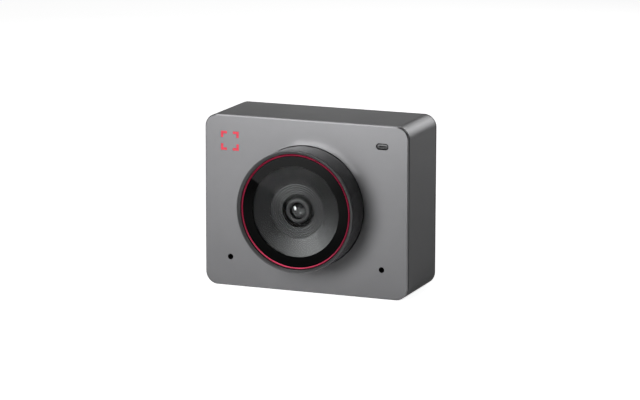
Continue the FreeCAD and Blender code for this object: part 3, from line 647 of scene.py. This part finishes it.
def set_camera():
    """A long lens at the photo's angle. The shifts aside and down centre the part as in the photo."""
    azimuth, elevation, roll = (math.radians(angle) for angle in (21.556, 11.579, 0.166))
    distance, aside, down = 0.793267, 0.00022, 0.000232
    level = math.cos(elevation)
    right = Vector((math.cos(azimuth), math.sin(azimuth), 0))
    back = Vector((math.sin(azimuth) * level, -math.cos(azimuth) * level, math.sin(elevation)))
    up = back.cross(right)
    rolled_right = right * math.cos(roll) + up * math.sin(roll)
    rolled_up = up * math.cos(roll) - right * math.sin(roll)
    data = bpy.data.cameras.new("camera")
    data.sensor_width = 36.0
    data.lens = 178.15
    data.clip_start = 0.05
    data.clip_end = 20.0
    camera = add_object("camera", data)
    middle_height = Vector((0, 0, LENS_Z * METRE))
    place = middle_height + back * distance - rolled_right * aside - rolled_up * down
    turned = Matrix((rolled_right, rolled_up, back)).transposed()
    camera.matrix_world = Matrix.Translation(place) @ turned.to_4x4()
    bpy.context.scene.camera = camera


# Floor, surround and lamps. Their places and sizes are in metres.

LAMP_TARGET = (0, 0, 0.03)
LENS_TARGET = (0, -0.015, LENS_Z * METRE)
LEFT_LAMP_PLACE = (-0.2305, -0.3836, 0.077)
LEFT_LAMP_SIZE = 0.14


def add_lamp(name, place, width, height, power, target=LAMP_TARGET):
    """A soft rectangular lamp that looks at its target."""
    data = bpy.data.lights.new(name, "AREA")
    data.shape = "RECTANGLE"
    data.size = width
    data.size_y = height
    data.energy = power
    lamp = add_object(name, data)
    lamp.location = place
    lamp.rotation_euler = (Vector(target) - Vector(place)).to_track_quat("-Z", "Y").to_euler()
    return lamp


def set_floor():
    """A wide pale floor that runs up into the distance. From below it is clear, so that the base shows."""
    bm = bmesh.new()
    bmesh.ops.create_circle(bm, cap_ends=True, segments=96, radius=4.0)
    mesh = bpy.data.meshes.new("floor")
    bm.to_mesh(mesh)
    bm.free()
    floor = add_object("floor", mesh)
    floor.location.z = -0.1 * METRE
    material = bpy.data.materials.new("floor_paper")
    material.use_nodes = True
    tree = material.node_tree
    paper = tree.nodes["Principled BSDF"]
    set_inputs(paper, Base_Color=(0.82, 0.82, 0.82, 1), Roughness=1.0, Specular_IOR_Level=0.0)
    set_inputs(paper, Emission_Color=(1, 1, 1, 1))
    path = node(tree, "ShaderNodeLightPath").outputs
    mirrored = maths(tree, "MAXIMUM", path["Is Glossy Ray"], path["Is Transmission Ray"])
    direct = maths(tree, "MULTIPLY", path["Is Camera Ray"], 0.9)
    tree.links.new(maths(tree, "MULTIPLY_ADD", mirrored, 0.05, direct), paper.inputs["Emission Strength"])
    below = node(tree, "ShaderNodeNewGeometry").outputs["Backfacing"]
    clear = node(tree, "ShaderNodeBsdfTransparent").outputs[0]
    surface = node(tree, "ShaderNodeMixShader", {0: below, 1: paper.outputs[0], 2: clear})
    tree.links.new(surface.outputs[0], tree.nodes["Material Output"].inputs["Surface"])
    mesh.materials.append(material)


def set_surround():
    """A white backdrop that lights the object only as a dim grey."""
    world = bpy.data.worlds.new("surround")
    bpy.context.scene.world = world
    world.use_nodes = True
    tree = world.node_tree
    path = node(tree, "ShaderNodeLightPath").outputs
    shade = mix(tree, path["Is Camera Ray"], (0.02, 0.02, 0.02), (1, 1, 1))
    tree.links.new(shade, tree.nodes["Background"].inputs["Color"])


def set_lamps():
    """The studio lamps: three in front on the left, four behind and one high on the left."""
    add_lamp("near_lamp", (-0.0218, -0.1337, 0.0636), 0.06, 0.06, 0.09)
    add_lamp("front_lamp", (-0.0842, -0.2414, 0.0734), 0.12, 0.12, 0.13)
    add_lamp("left_lamp", LEFT_LAMP_PLACE, LEFT_LAMP_SIZE, LEFT_LAMP_SIZE, 0.28)
    add_lamp("corner_lamp", (0.0945, 0.4093, 0.1913), 0.2, 0.2, 0.16)
    add_lamp("corner_strip_lamp", (0.0894, 0.3871, 0.2413), 0.3, 0.1, 0.19)
    add_lamp("side_lamp", (0.1837, 0.3939, 0.1465), 0.2, 0.2, 0.24)
    add_lamp("edge_lamp", (-0.1647, -0.1051, 0.4379), 0.12, 0.12, 0.13)
    add_lamp("back_lamp", (-0.1649, 0.4081, 0.1236), 0.12, 0.12, 0.04)


# Body shells


def front_panel():
    """The front plate with its cut edge, its holes and sunk marks, the groove behind it and its posts."""
    bm = bmesh.new()
    edge = (
        (0.34, FRONT_Y), (0.27, -10.388), (0.012, -10.13), (0, -10.07), (0, -9.93), (0.03, -9.9),
        (0.45, -9.9), (0.45, SLEEVE_FRONT_Y), (1.6, SLEEVE_FRONT_Y), (1.6, -6.4), (2.6, -6.4),
        (2.6, PLATE_BACK_Y),
    )
    front, back = skin(bm, [body_outline(inset, y) for inset, y in edge])
    fronts, backs = [front], [back]
    mouth = ((BARREL_HOLE + 0.05, FRONT_Y), (BARREL_HOLE, -10.35), (BARREL_HOLE, PLATE_BACK_Y))
    through = [[circle(0, LENS_Z, radius, y, RING_STEPS) for radius, y in mouth]]
    small = MICROPHONE_RADIUS
    mouth = ((small + 0.06, FRONT_Y), (small, -10.34), (small, PLATE_BACK_Y))
    for x, z in MICROPHONES:
        through.append([circle(x, z, radius, y) for radius, y in mouth])
    width, height = LIGHT_OPENING
    mouth = ((0.08, FRONT_Y), (0, -10.36), (0, PLATE_BACK_Y))
    through.append([pill(*LIGHT_PLACE, width + grow, height + grow, y) for grow, y in mouth])
    for loops in through:
        near, far = skin(bm, loops)
        fronts.append(near)
        backs.append(far)
    for points in mark_outlines(0.03, FRONT_Y):
        near, far = skin(bm, [points, [point + Vector((0, MARK_DEPTH, 0)) for point in points]])
        fronts.append(near)
        fill(bm, far)
    blind = (PLATE_BACK_Y, PLATE_BACK_Y - 1.5)
    for x, z in EARS:
        near, far = skin(bm, [circle(x, z, SMALL_SCREW_HOLE, y, 24) for y in blind])
        backs.append(near)
        fill(bm, far)
    fill(bm, *fronts)
    fill(bm, *backs)
    for x, z in POSTS:
        sleeve_round(bm, x, z, POST_RADIUS, 1.03, PLATE_BACK_Y, 3.0)
    panel = finished("front_panel", bm, BLASTED_GREY, "front_cover")
    # Painted shade: the walls of the microphone holes and of the light's opening are near-black.
    add_finish(panel, BLACK_LINING_AND_SHADE, in_small_hole)
    add_finish(panel, CUT_EDGE, on_outer_chamfer)
    return panel


def in_small_hole(face):
    """Chooses the walls of the microphone holes and of the light's opening, which are painted near-black as
    painted shade.
    """
    place = face.center / METRE
    holes = [(x, z, 0.75, 0.75) for x, z in MICROPHONES] + [(*LIGHT_PLACE, 1.7, 0.85)]
    if not FRONT_Y + 0.03 < place.y < PLATE_BACK_Y - 0.01 or abs(face.normal.y) > 0.5:
        return False
    return any(abs(place.x - x) < reach and abs(place.z - z) < rise for x, z, reach, rise in holes)


def on_outer_chamfer(face):
    """Chooses the slope all round the plate's front."""
    place = face.center / METRE
    across = abs(place.x) - (BODY_WIDTH / 2 - CORNER_RADIUS)
    rise = abs(place.z - LENS_Z) - (BODY_HEIGHT / 2 - CORNER_RADIUS)
    return math.hypot(max(across, 0), max(rise, 0)) > 2.8 and 0.3 < -face.normal.y < 0.97


def mark_outlines(gap, y):
    """Four right-angled marks at the corners of a small square."""
    middle_x, middle_z = MARK_PLACE
    half, arm, stroke = 2.4 + gap, 1.6 + 2 * gap, 0.62 + 2 * gap
    corners = ((0, 0), (arm, 0), (arm, stroke), (stroke, stroke), (stroke, arm), (0, arm))
    loops = []
    for side in (-1, 1):
        for rise in (-1, 1):
            places = [(middle_x + side * (half - u), middle_z + rise * (half - v)) for u, v in corners]
            loops.append([Vector((x, y, z)) for x, z in places])
    return loops


def corner_ink():
    """The red inlays of the corner marks, softly rounded at their top edges."""
    sunk = 0.005
    bm = bmesh.new()
    for points in mark_outlines(0, FRONT_Y + sunk):
        near, far = skin(bm, [points, [point + Vector((0, MARK_DEPTH - sunk, 0)) for point in points]])
        fill(bm, far)
        bmesh.ops.edgeloop_fill(bm, edges=near)
    tops = [edge for edge in bm.edges if all(vert.co.y < FRONT_Y + 2 * sunk for vert in edge.verts)]
    soften(bm, tops, 0.035, 2)
    return finished("corner_ink", bm, CRIMSON_INK, "corner_marks")


def cut_opening(bm, z, radius, steps=64):
    """Cuts a round opening through the base's largest face at this height, and gives back its edges."""
    wall = [face for face in bm.faces if abs(face.normal.z) > 0.99]
    wall = [face for face in wall if abs(face.calc_center_median().z - z) < 0.01]
    wall = max(wall, key=lambda face: face.calc_area())
    border = list(wall.edges)
    bmesh.ops.delete(bm, geom=[wall], context="FACES_ONLY")
    ring = loop(bm, flat_circle(0, radius, z, steps))
    fill(bm, border, ring)
    return ring


def sleeve_shell():
    """The tube round the top, sides and base, with the nut's opening and two screw bosses in the base."""
    bm = bmesh.new()
    edge = (
        (0.06, SLEEVE_FRONT_Y), (0.015, -9.485), (0, -9.44), (0, 9.19), (0.015, 9.235), (0.06, SLEEVE_BACK_Y),
        (WALL, SLEEVE_BACK_Y), (WALL, SLEEVE_FRONT_Y),
    )
    first, last = skin(bm, [body_outline(inset, y) for inset, y in edge])
    band(bm, first, last)
    nut_opening = 4.5
    rings = cut_opening(bm, 0.0, nut_opening) + cut_opening(bm, WALL, nut_opening)
    bmesh.ops.bridge_loops(bm, edges=rings)
    boss = ((2.2, WALL), (2.2, 2.7), (SMALL_SCREW_HOLE, 2.7), (SMALL_SCREW_HOLE, WALL))
    for x in (-11.0, 11.0):
        first, last = skin(bm, [flat_circle(x, radius, z, 32) for radius, z in boss])
        band(bm, first, last)
    return finished("sleeve_shell", bm, SLEEVE_GREY, "body_sleeve")


def rear_panel():
    """The rear cover with its softened edge, the plug's opening, the screws' sinks and its posts."""
    bm = bmesh.new()
    edge = (
        (0.46, BACK_Y), (0.38, 10.385), (0.015, 10.02), (0, 9.94), (0, 9.43), (0.03, 9.4), (0.3, 9.4),
        (0.3, SLEEVE_BACK_Y), (1.6, SLEEVE_BACK_Y), (1.6, 6.6), (2.6, 6.6), (2.6, COVER_INSIDE_Y),
    )
    face, inside = skin(bm, [body_outline(inset, y) for inset, y in edge])
    faces, insides = [face], [inside]
    mouth = ((0.14, BACK_Y), (0.04, 10.37), (0, 10.31), (0, COVER_INSIDE_Y))
    near, far = skin(bm, [pill(0, PLUG_Z, 9.24 + grow, 3.56 + grow, y, 16) for grow, y in mouth])
    faces.append(near)
    insides.append(far)
    shank = 1.1
    sink = ((1.86, BACK_Y), (1.8, 10.34), (1.8, 9.0), (shank, 9.0), (shank, COVER_INSIDE_Y))
    for x, z in POSTS:
        near, far = skin(bm, [circle(x, z, radius, y) for radius, y in sink])
        faces.append(near)
        insides.append(far)
        sleeve_round(bm, x, z, POST_RADIUS, shank, 3.0, COVER_INSIDE_Y, 48)
    fill(bm, *faces)
    fill(bm, *insides)
    post = ((1.6, COVER_INSIDE_Y), (1.6, 2.0), (SMALL_SCREW_HOLE, 2.0), (SMALL_SCREW_HOLE, 4.0))
    for x, z in BOARD_SCREWS:
        solid(bm, [circle(x, z, radius, y, 32) for radius, y in post])
    return finished("rear_panel", bm, BLASTED_GREY, "rear_cover")


# Small pieces in the covers and the base


def light_window():
    """The smoked window with its shelf and middle slot, its flange and its two legs. Its shelf, slot floor
    and the walls behind them are painted near-black as painted shade.
    """
    bm = bmesh.new()
    (x, z), (width, height) = LIGHT_PLACE, LIGHT_WINDOW
    top_y, shelf_y, flange_back_y = -10.25, -9.95, -7.6
    rounds = (
        (0.28, top_y), (0.22, -10.23), (0.2, -10.17), (0.2, shelf_y), (0, shelf_y), (0, PLATE_BACK_Y),
    )
    face, foot = skin(bm, [pill(x, z, width - 2 * inset, height - 2 * inset, y) for inset, y in rounds])
    slot, floor = skin(bm, [pill(x, z, 1.9, 0.24, y) for y in (top_y, -10.0)])
    fill(bm, face, slot)
    fill(bm, floor)
    near, far = skin(bm, [outline(x, z, 5.6, 3.2, 0.12, y, 3) for y in (PLATE_BACK_Y, flange_back_y)])
    fill(bm, foot, near)
    legs = []
    for leg_x in (x - 2.4, x + 2.4):
        root, tip = skin(bm, [outline(leg_x, z, 0.7, 3.1, 0.1, y, 3) for y in (flange_back_y, -6.9)])
        legs.append(root)
        fill(bm, tip)
    fill(bm, far, *legs)
    window = finished("light_window", bm, LIGHT_PLASTIC, "light_guide")
    # Painted shade: the shelf, the slot's floor and the pocket walls behind the window's front are
    # near-black.
    add_finish(window, BLACK_LINING_AND_SHADE, lambda face: -10.05 * METRE < face.center.y < PLATE_BACK_Y * METRE)
    return window


def microphone_seals():
    """The soft seals behind the two small holes, each with its disc of fine mesh."""
    bm = bmesh.new()
    ends = (PLATE_BACK_Y, -7.2)
    for x, z in MICROPHONES:
        near, far = skin(bm, [outline(x, z, 3.6, 3.6, 0.4, y, 5) for y in ends])
        front, back = skin(bm, [circle(x, z, MICROPHONE_RADIUS, y) for y in ends])
        fill(bm, near, front)
        fill(bm, far, back)
        solid(bm, [circle(x, z, MICROPHONE_RADIUS - 0.01, y) for y in (-8.12, -8.06)])
    seals = finished("microphone_seals", bm, SOFT_RUBBER, "microphone_gaskets")
    # The mesh discs and walls behind the small holes are near-black: partly the mesh's dark colour, partly
    # painted shade in the holes.
    add_finish(seals, BLACK_LINING_AND_SHADE, behind_microphone_hole)
    return seals


def behind_microphone_hole(face):
    """Chooses the walls and the mesh that show through the two small holes. Their near-black is partly the
    mesh's own colour and partly painted shade.
    """
    place = face.center / METRE
    return any(math.hypot(place.x - x, place.z - z) < MICROPHONE_RADIUS for x, z in MICROPHONES)


def cross(x, z, length, width, y):
    """The outline of a plus sign."""
    reach, half = length / 2, width / 2
    quarter = ((reach, half), (half, half), (half, reach))
    points = []
    for turns in range(4):
        for u, v in quarter:
            for _ in range(turns):
                u, v = -v, u
            points.append(Vector((x + u, y, z + v)))
    return points


def cover_screws():
    """The four cross-head screws that hold the two covers together."""
    bm = bmesh.new()
    shape = ((1.58, 10.1), (1.66, 10.07), (1.7, 9.99), (1.7, 9.0), (1.0, 9.0), (1.0, -1.7), (0.75, -2.0))
    slots = ((2.0, 0.4, 10.1), (1.7, 0.34, 9.5))
    for x, z in POSTS:
        head, tip = skin(bm, [circle(x, z, radius, y) for radius, y in shape])
        slot, floor = skin(bm, [cross(x, z, length, width, y) for length, width, y in slots])
        fill(bm, head, slot)
        fill(bm, floor)
        fill(bm, tip)
    return finished("cover_screws", bm, BLACK_OXIDE, "rear_screws")


def plug_shell():
    """The plug socket's drawn metal tube, rounded at its mouth."""
    bm = bmesh.new()
    tube = (
        (8.94, 3.26, 2.0), (8.94, 3.26, 9.9), (8.88, 3.2, 9.97), (8.74, 3.06, 10.0), (8.5, 2.82, 10.0),
        (8.38, 2.7, 9.94), (8.34, 2.66, 9.8), (8.34, 2.66, 2.0),
    )
    first, last = skin(bm, [pill(0, PLUG_Z, width, height, y, 16) for width, height, y in tube])
    band(bm, first, last)
    return finished("plug_shell", bm, PLATED_STEEL, "usb_shell")


def plug_tongue():
    """The moulded floor and tongue inside the socket, with a row of plated contacts on each side."""
    bm = bmesh.new()
    width, height, floor_y = 6.7, 0.66, 3.8
    floor, back = skin(bm, [pill(0, PLUG_Z, 8.28, 2.6, y, 16) for y in (floor_y, 2.0)])
    rounds = ((0, floor_y), (0, 8.3), (0.05, 8.37), (0.12, 8.4))
    stages = [(width - 2 * inset, height - 2 * inset, y) for inset, y in rounds]
    root, tip = skin(bm, [outline(0, PLUG_Z, wide, high, 0.06, y, 3) for wide, high, y in stages])
    fill(bm, floor, root)
    fill(bm, back)
    fill(bm, tip)
    moulded = len(bm.faces)
    contacts, pitch = 12, 0.5
    for number in range(contacts):
        for side in (-1, 1):
            x = pitch * (number - (contacts - 1) / 2)
            solid(bm, [outline(x, PLUG_Z + side * 0.335, 0.26, 0.03, 0.01, y, 2) for y in (4.3, 8.0)])
    bm.faces.ensure_lookup_table()
    for face in bm.faces[moulded:]:
        face.material_index = 1
    tongue = finished("plug_tongue", bm, BLACK_PLASTIC, "usb_tongue")
    tongue.data.materials.append(CONTACT_GOLD)
    return tongue


def threaded_nut():
    """The flanged nut in the base, with its helical thread of 1.27 mm pitch."""
    bm = bmesh.new()
    pitch, crest, root = 1.27, 2.6, 3.15
    depth, turns, steps = 6.2, 7, 48
    section = ((crest, 0.0), (crest, 0.16), (root, 0.57), (root, 0.7), (crest, 1.11), (crest, pitch))
    verts = [bm.verts.new((radius, 0, z - pitch)) for radius, z in section]
    edges = [bm.edges.new(pair) for pair in zip(verts, verts[1:])]
    bmesh.ops.spin(
        bm, geom=verts + edges, cent=(0, 0, 0), axis=(0, 0, 1), dvec=(0, 0, pitch / steps),
        angle=2 * math.pi * turns, steps=steps * turns, use_merge=False, use_duplicate=False,
    )
    bmesh.ops.remove_doubles(bm, verts=bm.verts[:], dist=0.0005)
    rims = []
    for z, direction in ((0.0, -1), (depth, 1)):
        cut = bmesh.ops.bisect_plane(
            bm, geom=bm.verts[:] + bm.edges[:] + bm.faces[:], dist=0.0005, plane_co=(0, 0, z),
            plane_no=(0, 0, direction), clear_outer=True,
        )
        rims.append([edge for edge in cut["geom_cut"] if isinstance(edge, bmesh.types.BMEdge)])
    shape = (
        (4.3, 0), (4.4, 0.1), (4.4, WALL), (5.4, WALL), (5.4, 2.62), (5.32, 2.7), (4.4, 2.7), (4.4, 6.9),
        (4.3, 7.0),
    )
    base, top = skin(bm, [flat_circle(0, radius, z, 96) for radius, z in shape])
    fill(bm, rims[0], base)
    fill(bm, rims[1])
    fill(bm, top)
    return finished("threaded_nut", bm, SOCKET_BRASS, "tripod_nut")


# Barrel and what sits in its mouth


def turned_piece(
    name, corners, material, cad_node, extra=None, steps=RING_STEPS, body="camera_body"
):
    """A piece turned about the lens axis from its half section, with what else belongs to it."""
    bm = bmesh.new()
    wire(bm, corners)
    turn(bm, steps)
    if extra:
        extra(bm)
    return finished(name, bm, material, cad_node, body)


def housing_ears(bm):
    """The barrel's screw seats, and the posts that carry the sensor board."""
    for x, z in EARS:
        sleeve_round(bm, x, z, POST_RADIUS, 0.9, PLATE_BACK_Y, HOUSING_BACK_Y)
    for x, z in SENSOR_SCREWS:
        sleeve_round(bm, x, z, 1.45, SMALL_SCREW_HOLE, -14.23, -6.6)


def barrel():
    """The round housing, from its mouth with the glass's seat to the flange behind the front plate."""
    outer, flange, inner, hole, seat, mouth = BARREL_RADIUS, 16.56, 13.56, 12.1, 14.5, 14.85
    mouth_y, seat_y, floor_y = -17.4, -16.7, -14.2
    corners = (
        (outer, mouth_y, 0.06), (outer, PLATE_BACK_Y), (flange, PLATE_BACK_Y), (flange, HOUSING_BACK_Y, 0.1),
        (inner, HOUSING_BACK_Y), (inner, floor_y), (hole, floor_y), (hole, SHROUD_BACK_Y),
        (seat, SHROUD_BACK_Y), (seat, seat_y), (mouth, seat_y), (mouth, mouth_y),
    )
    return turned_piece("barrel", corners, BARREL_DARK, "lens_housing", housing_ears)


def rim():
    """The ring round the barrel's mouth, with its inward slope."""
    inner, step = 14.53, 14.82
    corners = (
        (inner, -16.8), (step, -16.8), (step, -17.5), (BARREL_RADIUS, -17.5, 0.03),
        (BARREL_RADIUS, RIM_Y + 0.12, 0.06), (BARREL_RADIUS - 0.12, RIM_Y, 0.06), (inner, -17.4, 0.05),
    )
    return turned_piece("rim", corners, RIM_DARK, "rim_ring")


def accent():
    """The thin crimson ring between rim and glass, with its softened slope."""
    inner, outer = GLASS_RADIUS + 0.03, ACCENT_RADIUS
    corners = (
        (inner, SHROUD_FRONT_Y), (outer, SHROUD_FRONT_Y), (outer, -16.95, 0.03), (outer - 0.2, -17.24, 0.04),
        (inner, -17.16, 0.05),
    )
    return turned_piece("accent", corners, CRIMSON, "accent_ring")


def front_glass():
    """The flat cover glass. Its border lies over black, and its back reflects nothing."""
    corners = (
        (0, GLASS_FRONT_Y), (WINDOW_RADIUS, GLASS_FRONT_Y), (GLASS_RADIUS, GLASS_FRONT_Y, 0.1),
        (GLASS_RADIUS, GLASS_BACK_Y, 0.06), (WINDOW_RADIUS, GLASS_BACK_Y), (0, GLASS_BACK_Y),
    )
    glass = turned_piece("front_glass", corners, COVER_GLASS, "cover_glass")
    add_finish(glass, BLACK_BORDER, lambda face: lens_radius(face) > WINDOW_RADIUS)
    add_finish(glass, GLASS_INSIDE, on_window_back)
    return glass


def on_window_back(face):
    """Chooses the back of the glass inside its black border."""
    half_way = (GLASS_FRONT_Y + GLASS_BACK_Y) / 2
    return lens_radius(face) < WINDOW_RADIUS and face.center.y > half_way * METRE


def glass_border():
    """The black adhesive ring behind the glass."""
    corners = (
        (WINDOW_RADIUS, GLASS_BACK_Y), (GLASS_RADIUS, GLASS_BACK_Y), (GLASS_RADIUS, SHROUD_FRONT_Y),
        (WINDOW_RADIUS, SHROUD_FRONT_Y),
    )
    return turned_piece("glass_border", corners, BLACK_PRINT, "glass_adhesive")


def shroud():
    """The shallow cone with five fine steps at its foot, round the well of the lens, whose wall is near-black
    partly as black plastic and partly as painted shade.
    """
    cone_y, first_step_y, back_y, steps = -15.55, -15.44, -14.3, 5
    corners = [
        (ACCENT_RADIUS, SHROUD_FRONT_Y), (WINDOW_RADIUS, SHROUD_FRONT_Y, 0.03), (STEPS_RADIUS, cone_y, 0.03),
    ]
    for number in range(steps):
        level = first_step_y + STEP_DEPTH * number
        outer = STEPS_RADIUS - STEP_WIDTH * number
        corners += [(outer, level, 0.02), (outer - STEP_WIDTH, level, 0.03)]
    corners += [
        (WELL_RADIUS, back_y), (STEPS_RADIUS, back_y), (12.0, SHROUD_BACK_Y), (ACCENT_RADIUS, SHROUD_BACK_Y),
    ]
    piece = turned_piece("shroud", corners, SHROUD, "stepped_shroud")
    # The well's wall is near-black: partly its black plastic, partly painted shade in the well.
    add_finish(piece, BLACK_LINING_AND_SHADE, on_well_wall)
    add_finish(piece, SHROUD_STEPS, on_shroud_step)
    return piece


def on_well_wall(face):
    """Chooses the wall of the round well, which is painted near-black partly as painted shade."""
    return abs(lens_radius(face) - WELL_RADIUS) < 0.01 and abs(face.normal.y) < 0.5


def on_shroud_step(face):
    """Chooses the treads and risers of the steps."""
    return WELL_RADIUS + 0.01 < lens_radius(face) < STEPS_RADIUS and face.center.y < -14.5 * METRE


def lens_nose():
    """The lens barrel with its soft front ring round the front element."""
    front_y, shoulder_y, back_y = -15.4, -13.3, -9.2
    nose, body, bore, clear = 3.15, 3.5, 2.73, 2.15
    corners = (
        (2.45, front_y, 0.05), (2.8, front_y, 0.15), (nose, -15.05, 0.15), (nose, shoulder_y),
        (body, shoulder_y), (body, back_y), (bore, back_y), (bore, ELEMENT_FRONT_Y),
        (clear, ELEMENT_FRONT_Y), (clear, -15.1, 0.05),
    )
    piece = turned_piece(
        "lens_nose", corners, LENS_BLACK, "lens_barrel", steps=LENS_STEPS, body="focus_lens"
    )
    # Painted shade: the barrel's walls and all behind the front ring are near-black.
    add_finish(piece, BLACK_LINING_AND_SHADE, behind_nose_ring)
    return piece


def behind_nose_ring(face):
    """Chooses the lens barrel's walls and all that lies behind its front ring, which are painted near-black
    as painted shade.
    """
    on_wall = 2.1 < lens_radius(face) < 3.6 and abs(face.normal.y) < 0.5
    return on_wall or face.center.y > NOSE_SHADE_Y * METRE


def front_element():
    """The front lens, with a curved front and back and a flat flange."""
    bm = bmesh.new()
    arc(bm, ELEMENT_CLEAR, ELEMENT_FRONT_Y, 0.42)
    arc(bm, ELEMENT_CLEAR, ELEMENT_BACK_Y, 0.25)
    ends = [vert for vert in bm.verts if vert.co.x > ELEMENT_CLEAR - 0.01]
    first, last = sorted(ends, key=lambda vert: vert.co.y)
    outer = [bm.verts.new((ELEMENT_RADIUS, y, LENS_Z)) for y in (ELEMENT_FRONT_Y, ELEMENT_BACK_Y)]
    for pair in ((first, outer[0]), outer, (outer[1], last)):
        bm.edges.new(pair)
    turn(bm, LENS_STEPS)
    return finished("front_element", bm, LENS_GLASS, "lens_element_1", "focus_lens")


# Lamps that light one piece only


def light_only(lamp, piece, whole=False):
    """Lets only this piece mirror the lamp. With whole, the lamp lights the piece's dull side too."""
    lamp.visible_diffuse = whole
    lamp.visible_transmission = False
    collection = bpy.data.collections.new(lamp.name + "_receiver")
    collection.objects.link(piece)
    lamp.light_linking.receiver_collection = collection


def leave_out(piece, *names):
    """Keeps these lamps' light off the piece."""
    for name in names:
        collection = bpy.data.collections.new(name + "_leaves_out")
        collection.objects.link(piece)
        collection.collection_objects[0].light_linking.link_state = "EXCLUDE"
        bpy.data.objects[name].light_linking.receiver_collection = collection


def face_body(lamp, along):
    """Turns a lamp to look straight back along Y, with its long side along this direction."""
    facing = Vector((0, -1, 0))
    lamp.rotation_euler = Matrix((along, facing.cross(along), facing)).transposed().to_euler()


def set_bounce_lamps(panel):
    """Three faint lamps for the light that the barrel's flank throws back on the panel above it."""
    reach, y = BARREL_RADIUS + 0.44, FRONT_Y - 1.3
    for degrees, power in ((46, 0.00002), (69, 0.000022), (92, 0.000018)):
        angle = math.radians(degrees)
        place = Vector((reach * math.cos(angle), y, LENS_Z + reach * math.sin(angle))) * METRE
        lamp = add_lamp(f"bounce_lamp_{degrees}", place, 0.0062, 0.0008, power)
        face_body(lamp, Vector((math.sin(angle), 0, -math.cos(angle))))
        lamp.visible_camera = False
        light_only(lamp, panel, whole=True)


def set_mirrored_lamp(glass):
    """A lamp that the flat glass mirrors with a slanted edge, and that fades to the right."""
    lamp = add_lamp("mirrored_lamp", (-0.01137, -0.0572, 0.02004), 0.033, 0.0165, 0.006)
    face_body(lamp, Vector((0.857, 0, -0.515)))
    lamp.data.use_nodes = True
    tree = lamp.data.node_tree
    place = node(tree, "ShaderNodeNewGeometry").outputs["Parametric"]
    across = node(tree, "ShaderNodeSeparateXYZ", {"Vector": place}).outputs["X"]
    limits = {"Value": across, "From Min": 0.3, "From Max": 0.95, "To Min": 1.0, "To Max": 0.0}
    fade = node(tree, "ShaderNodeMapRange", limits, interpolation_type="SMOOTHSTEP")
    tree.links.new(fade.outputs["Result"], tree.nodes["Emission"].inputs["Strength"])
    light_only(lamp, glass)


def set_highlights(element, cone):
    """A large and a small highlight on the front lens, and a bright fan on the cone."""
    leave_out(element, "near_lamp", "front_lamp", "left_lamp")
    large = add_lamp("large_highlight", (-0.08, -0.118, 0.018), 0.03, 0.04, 0.05, LENS_TARGET)
    small = add_lamp("small_highlight", (-0.0055, -0.0563, 0.0043), 0.004, 0.004, 0.0005, LENS_TARGET)
    fan = add_lamp("cone_highlight", LEFT_LAMP_PLACE, LEFT_LAMP_SIZE, LEFT_LAMP_SIZE, 3.6)
    light_only(large, element)
    light_only(small, element)
    light_only(fan, cone)


set_camera()
set_floor()
set_surround()
set_lamps()
set_bounce_lamps(front_panel())
sleeve_shell()
rear_panel()
corner_ink()
barrel()
rim()
accent()
cover = front_glass()
glass_border()
cone = shroud()
lens_nose()
element = front_element()
set_mirrored_lamp(cover)
set_highlights(element, cone)
light_window()
microphone_seals()
cover_screws()
plug_shell()
plug_tongue()
threaded_nut()

slots = {row["node"]: row["material_slot"] for row in frame["record"]["subparts"]}
for name, cad in frame["nodes"].items():
    if not cad.hide_render:
        cad.data.materials.clear()
        cad.data.materials.append(INNER_FINISHES[slots[name]])

bpy.context.scene.view_settings.view_transform = "Standard"
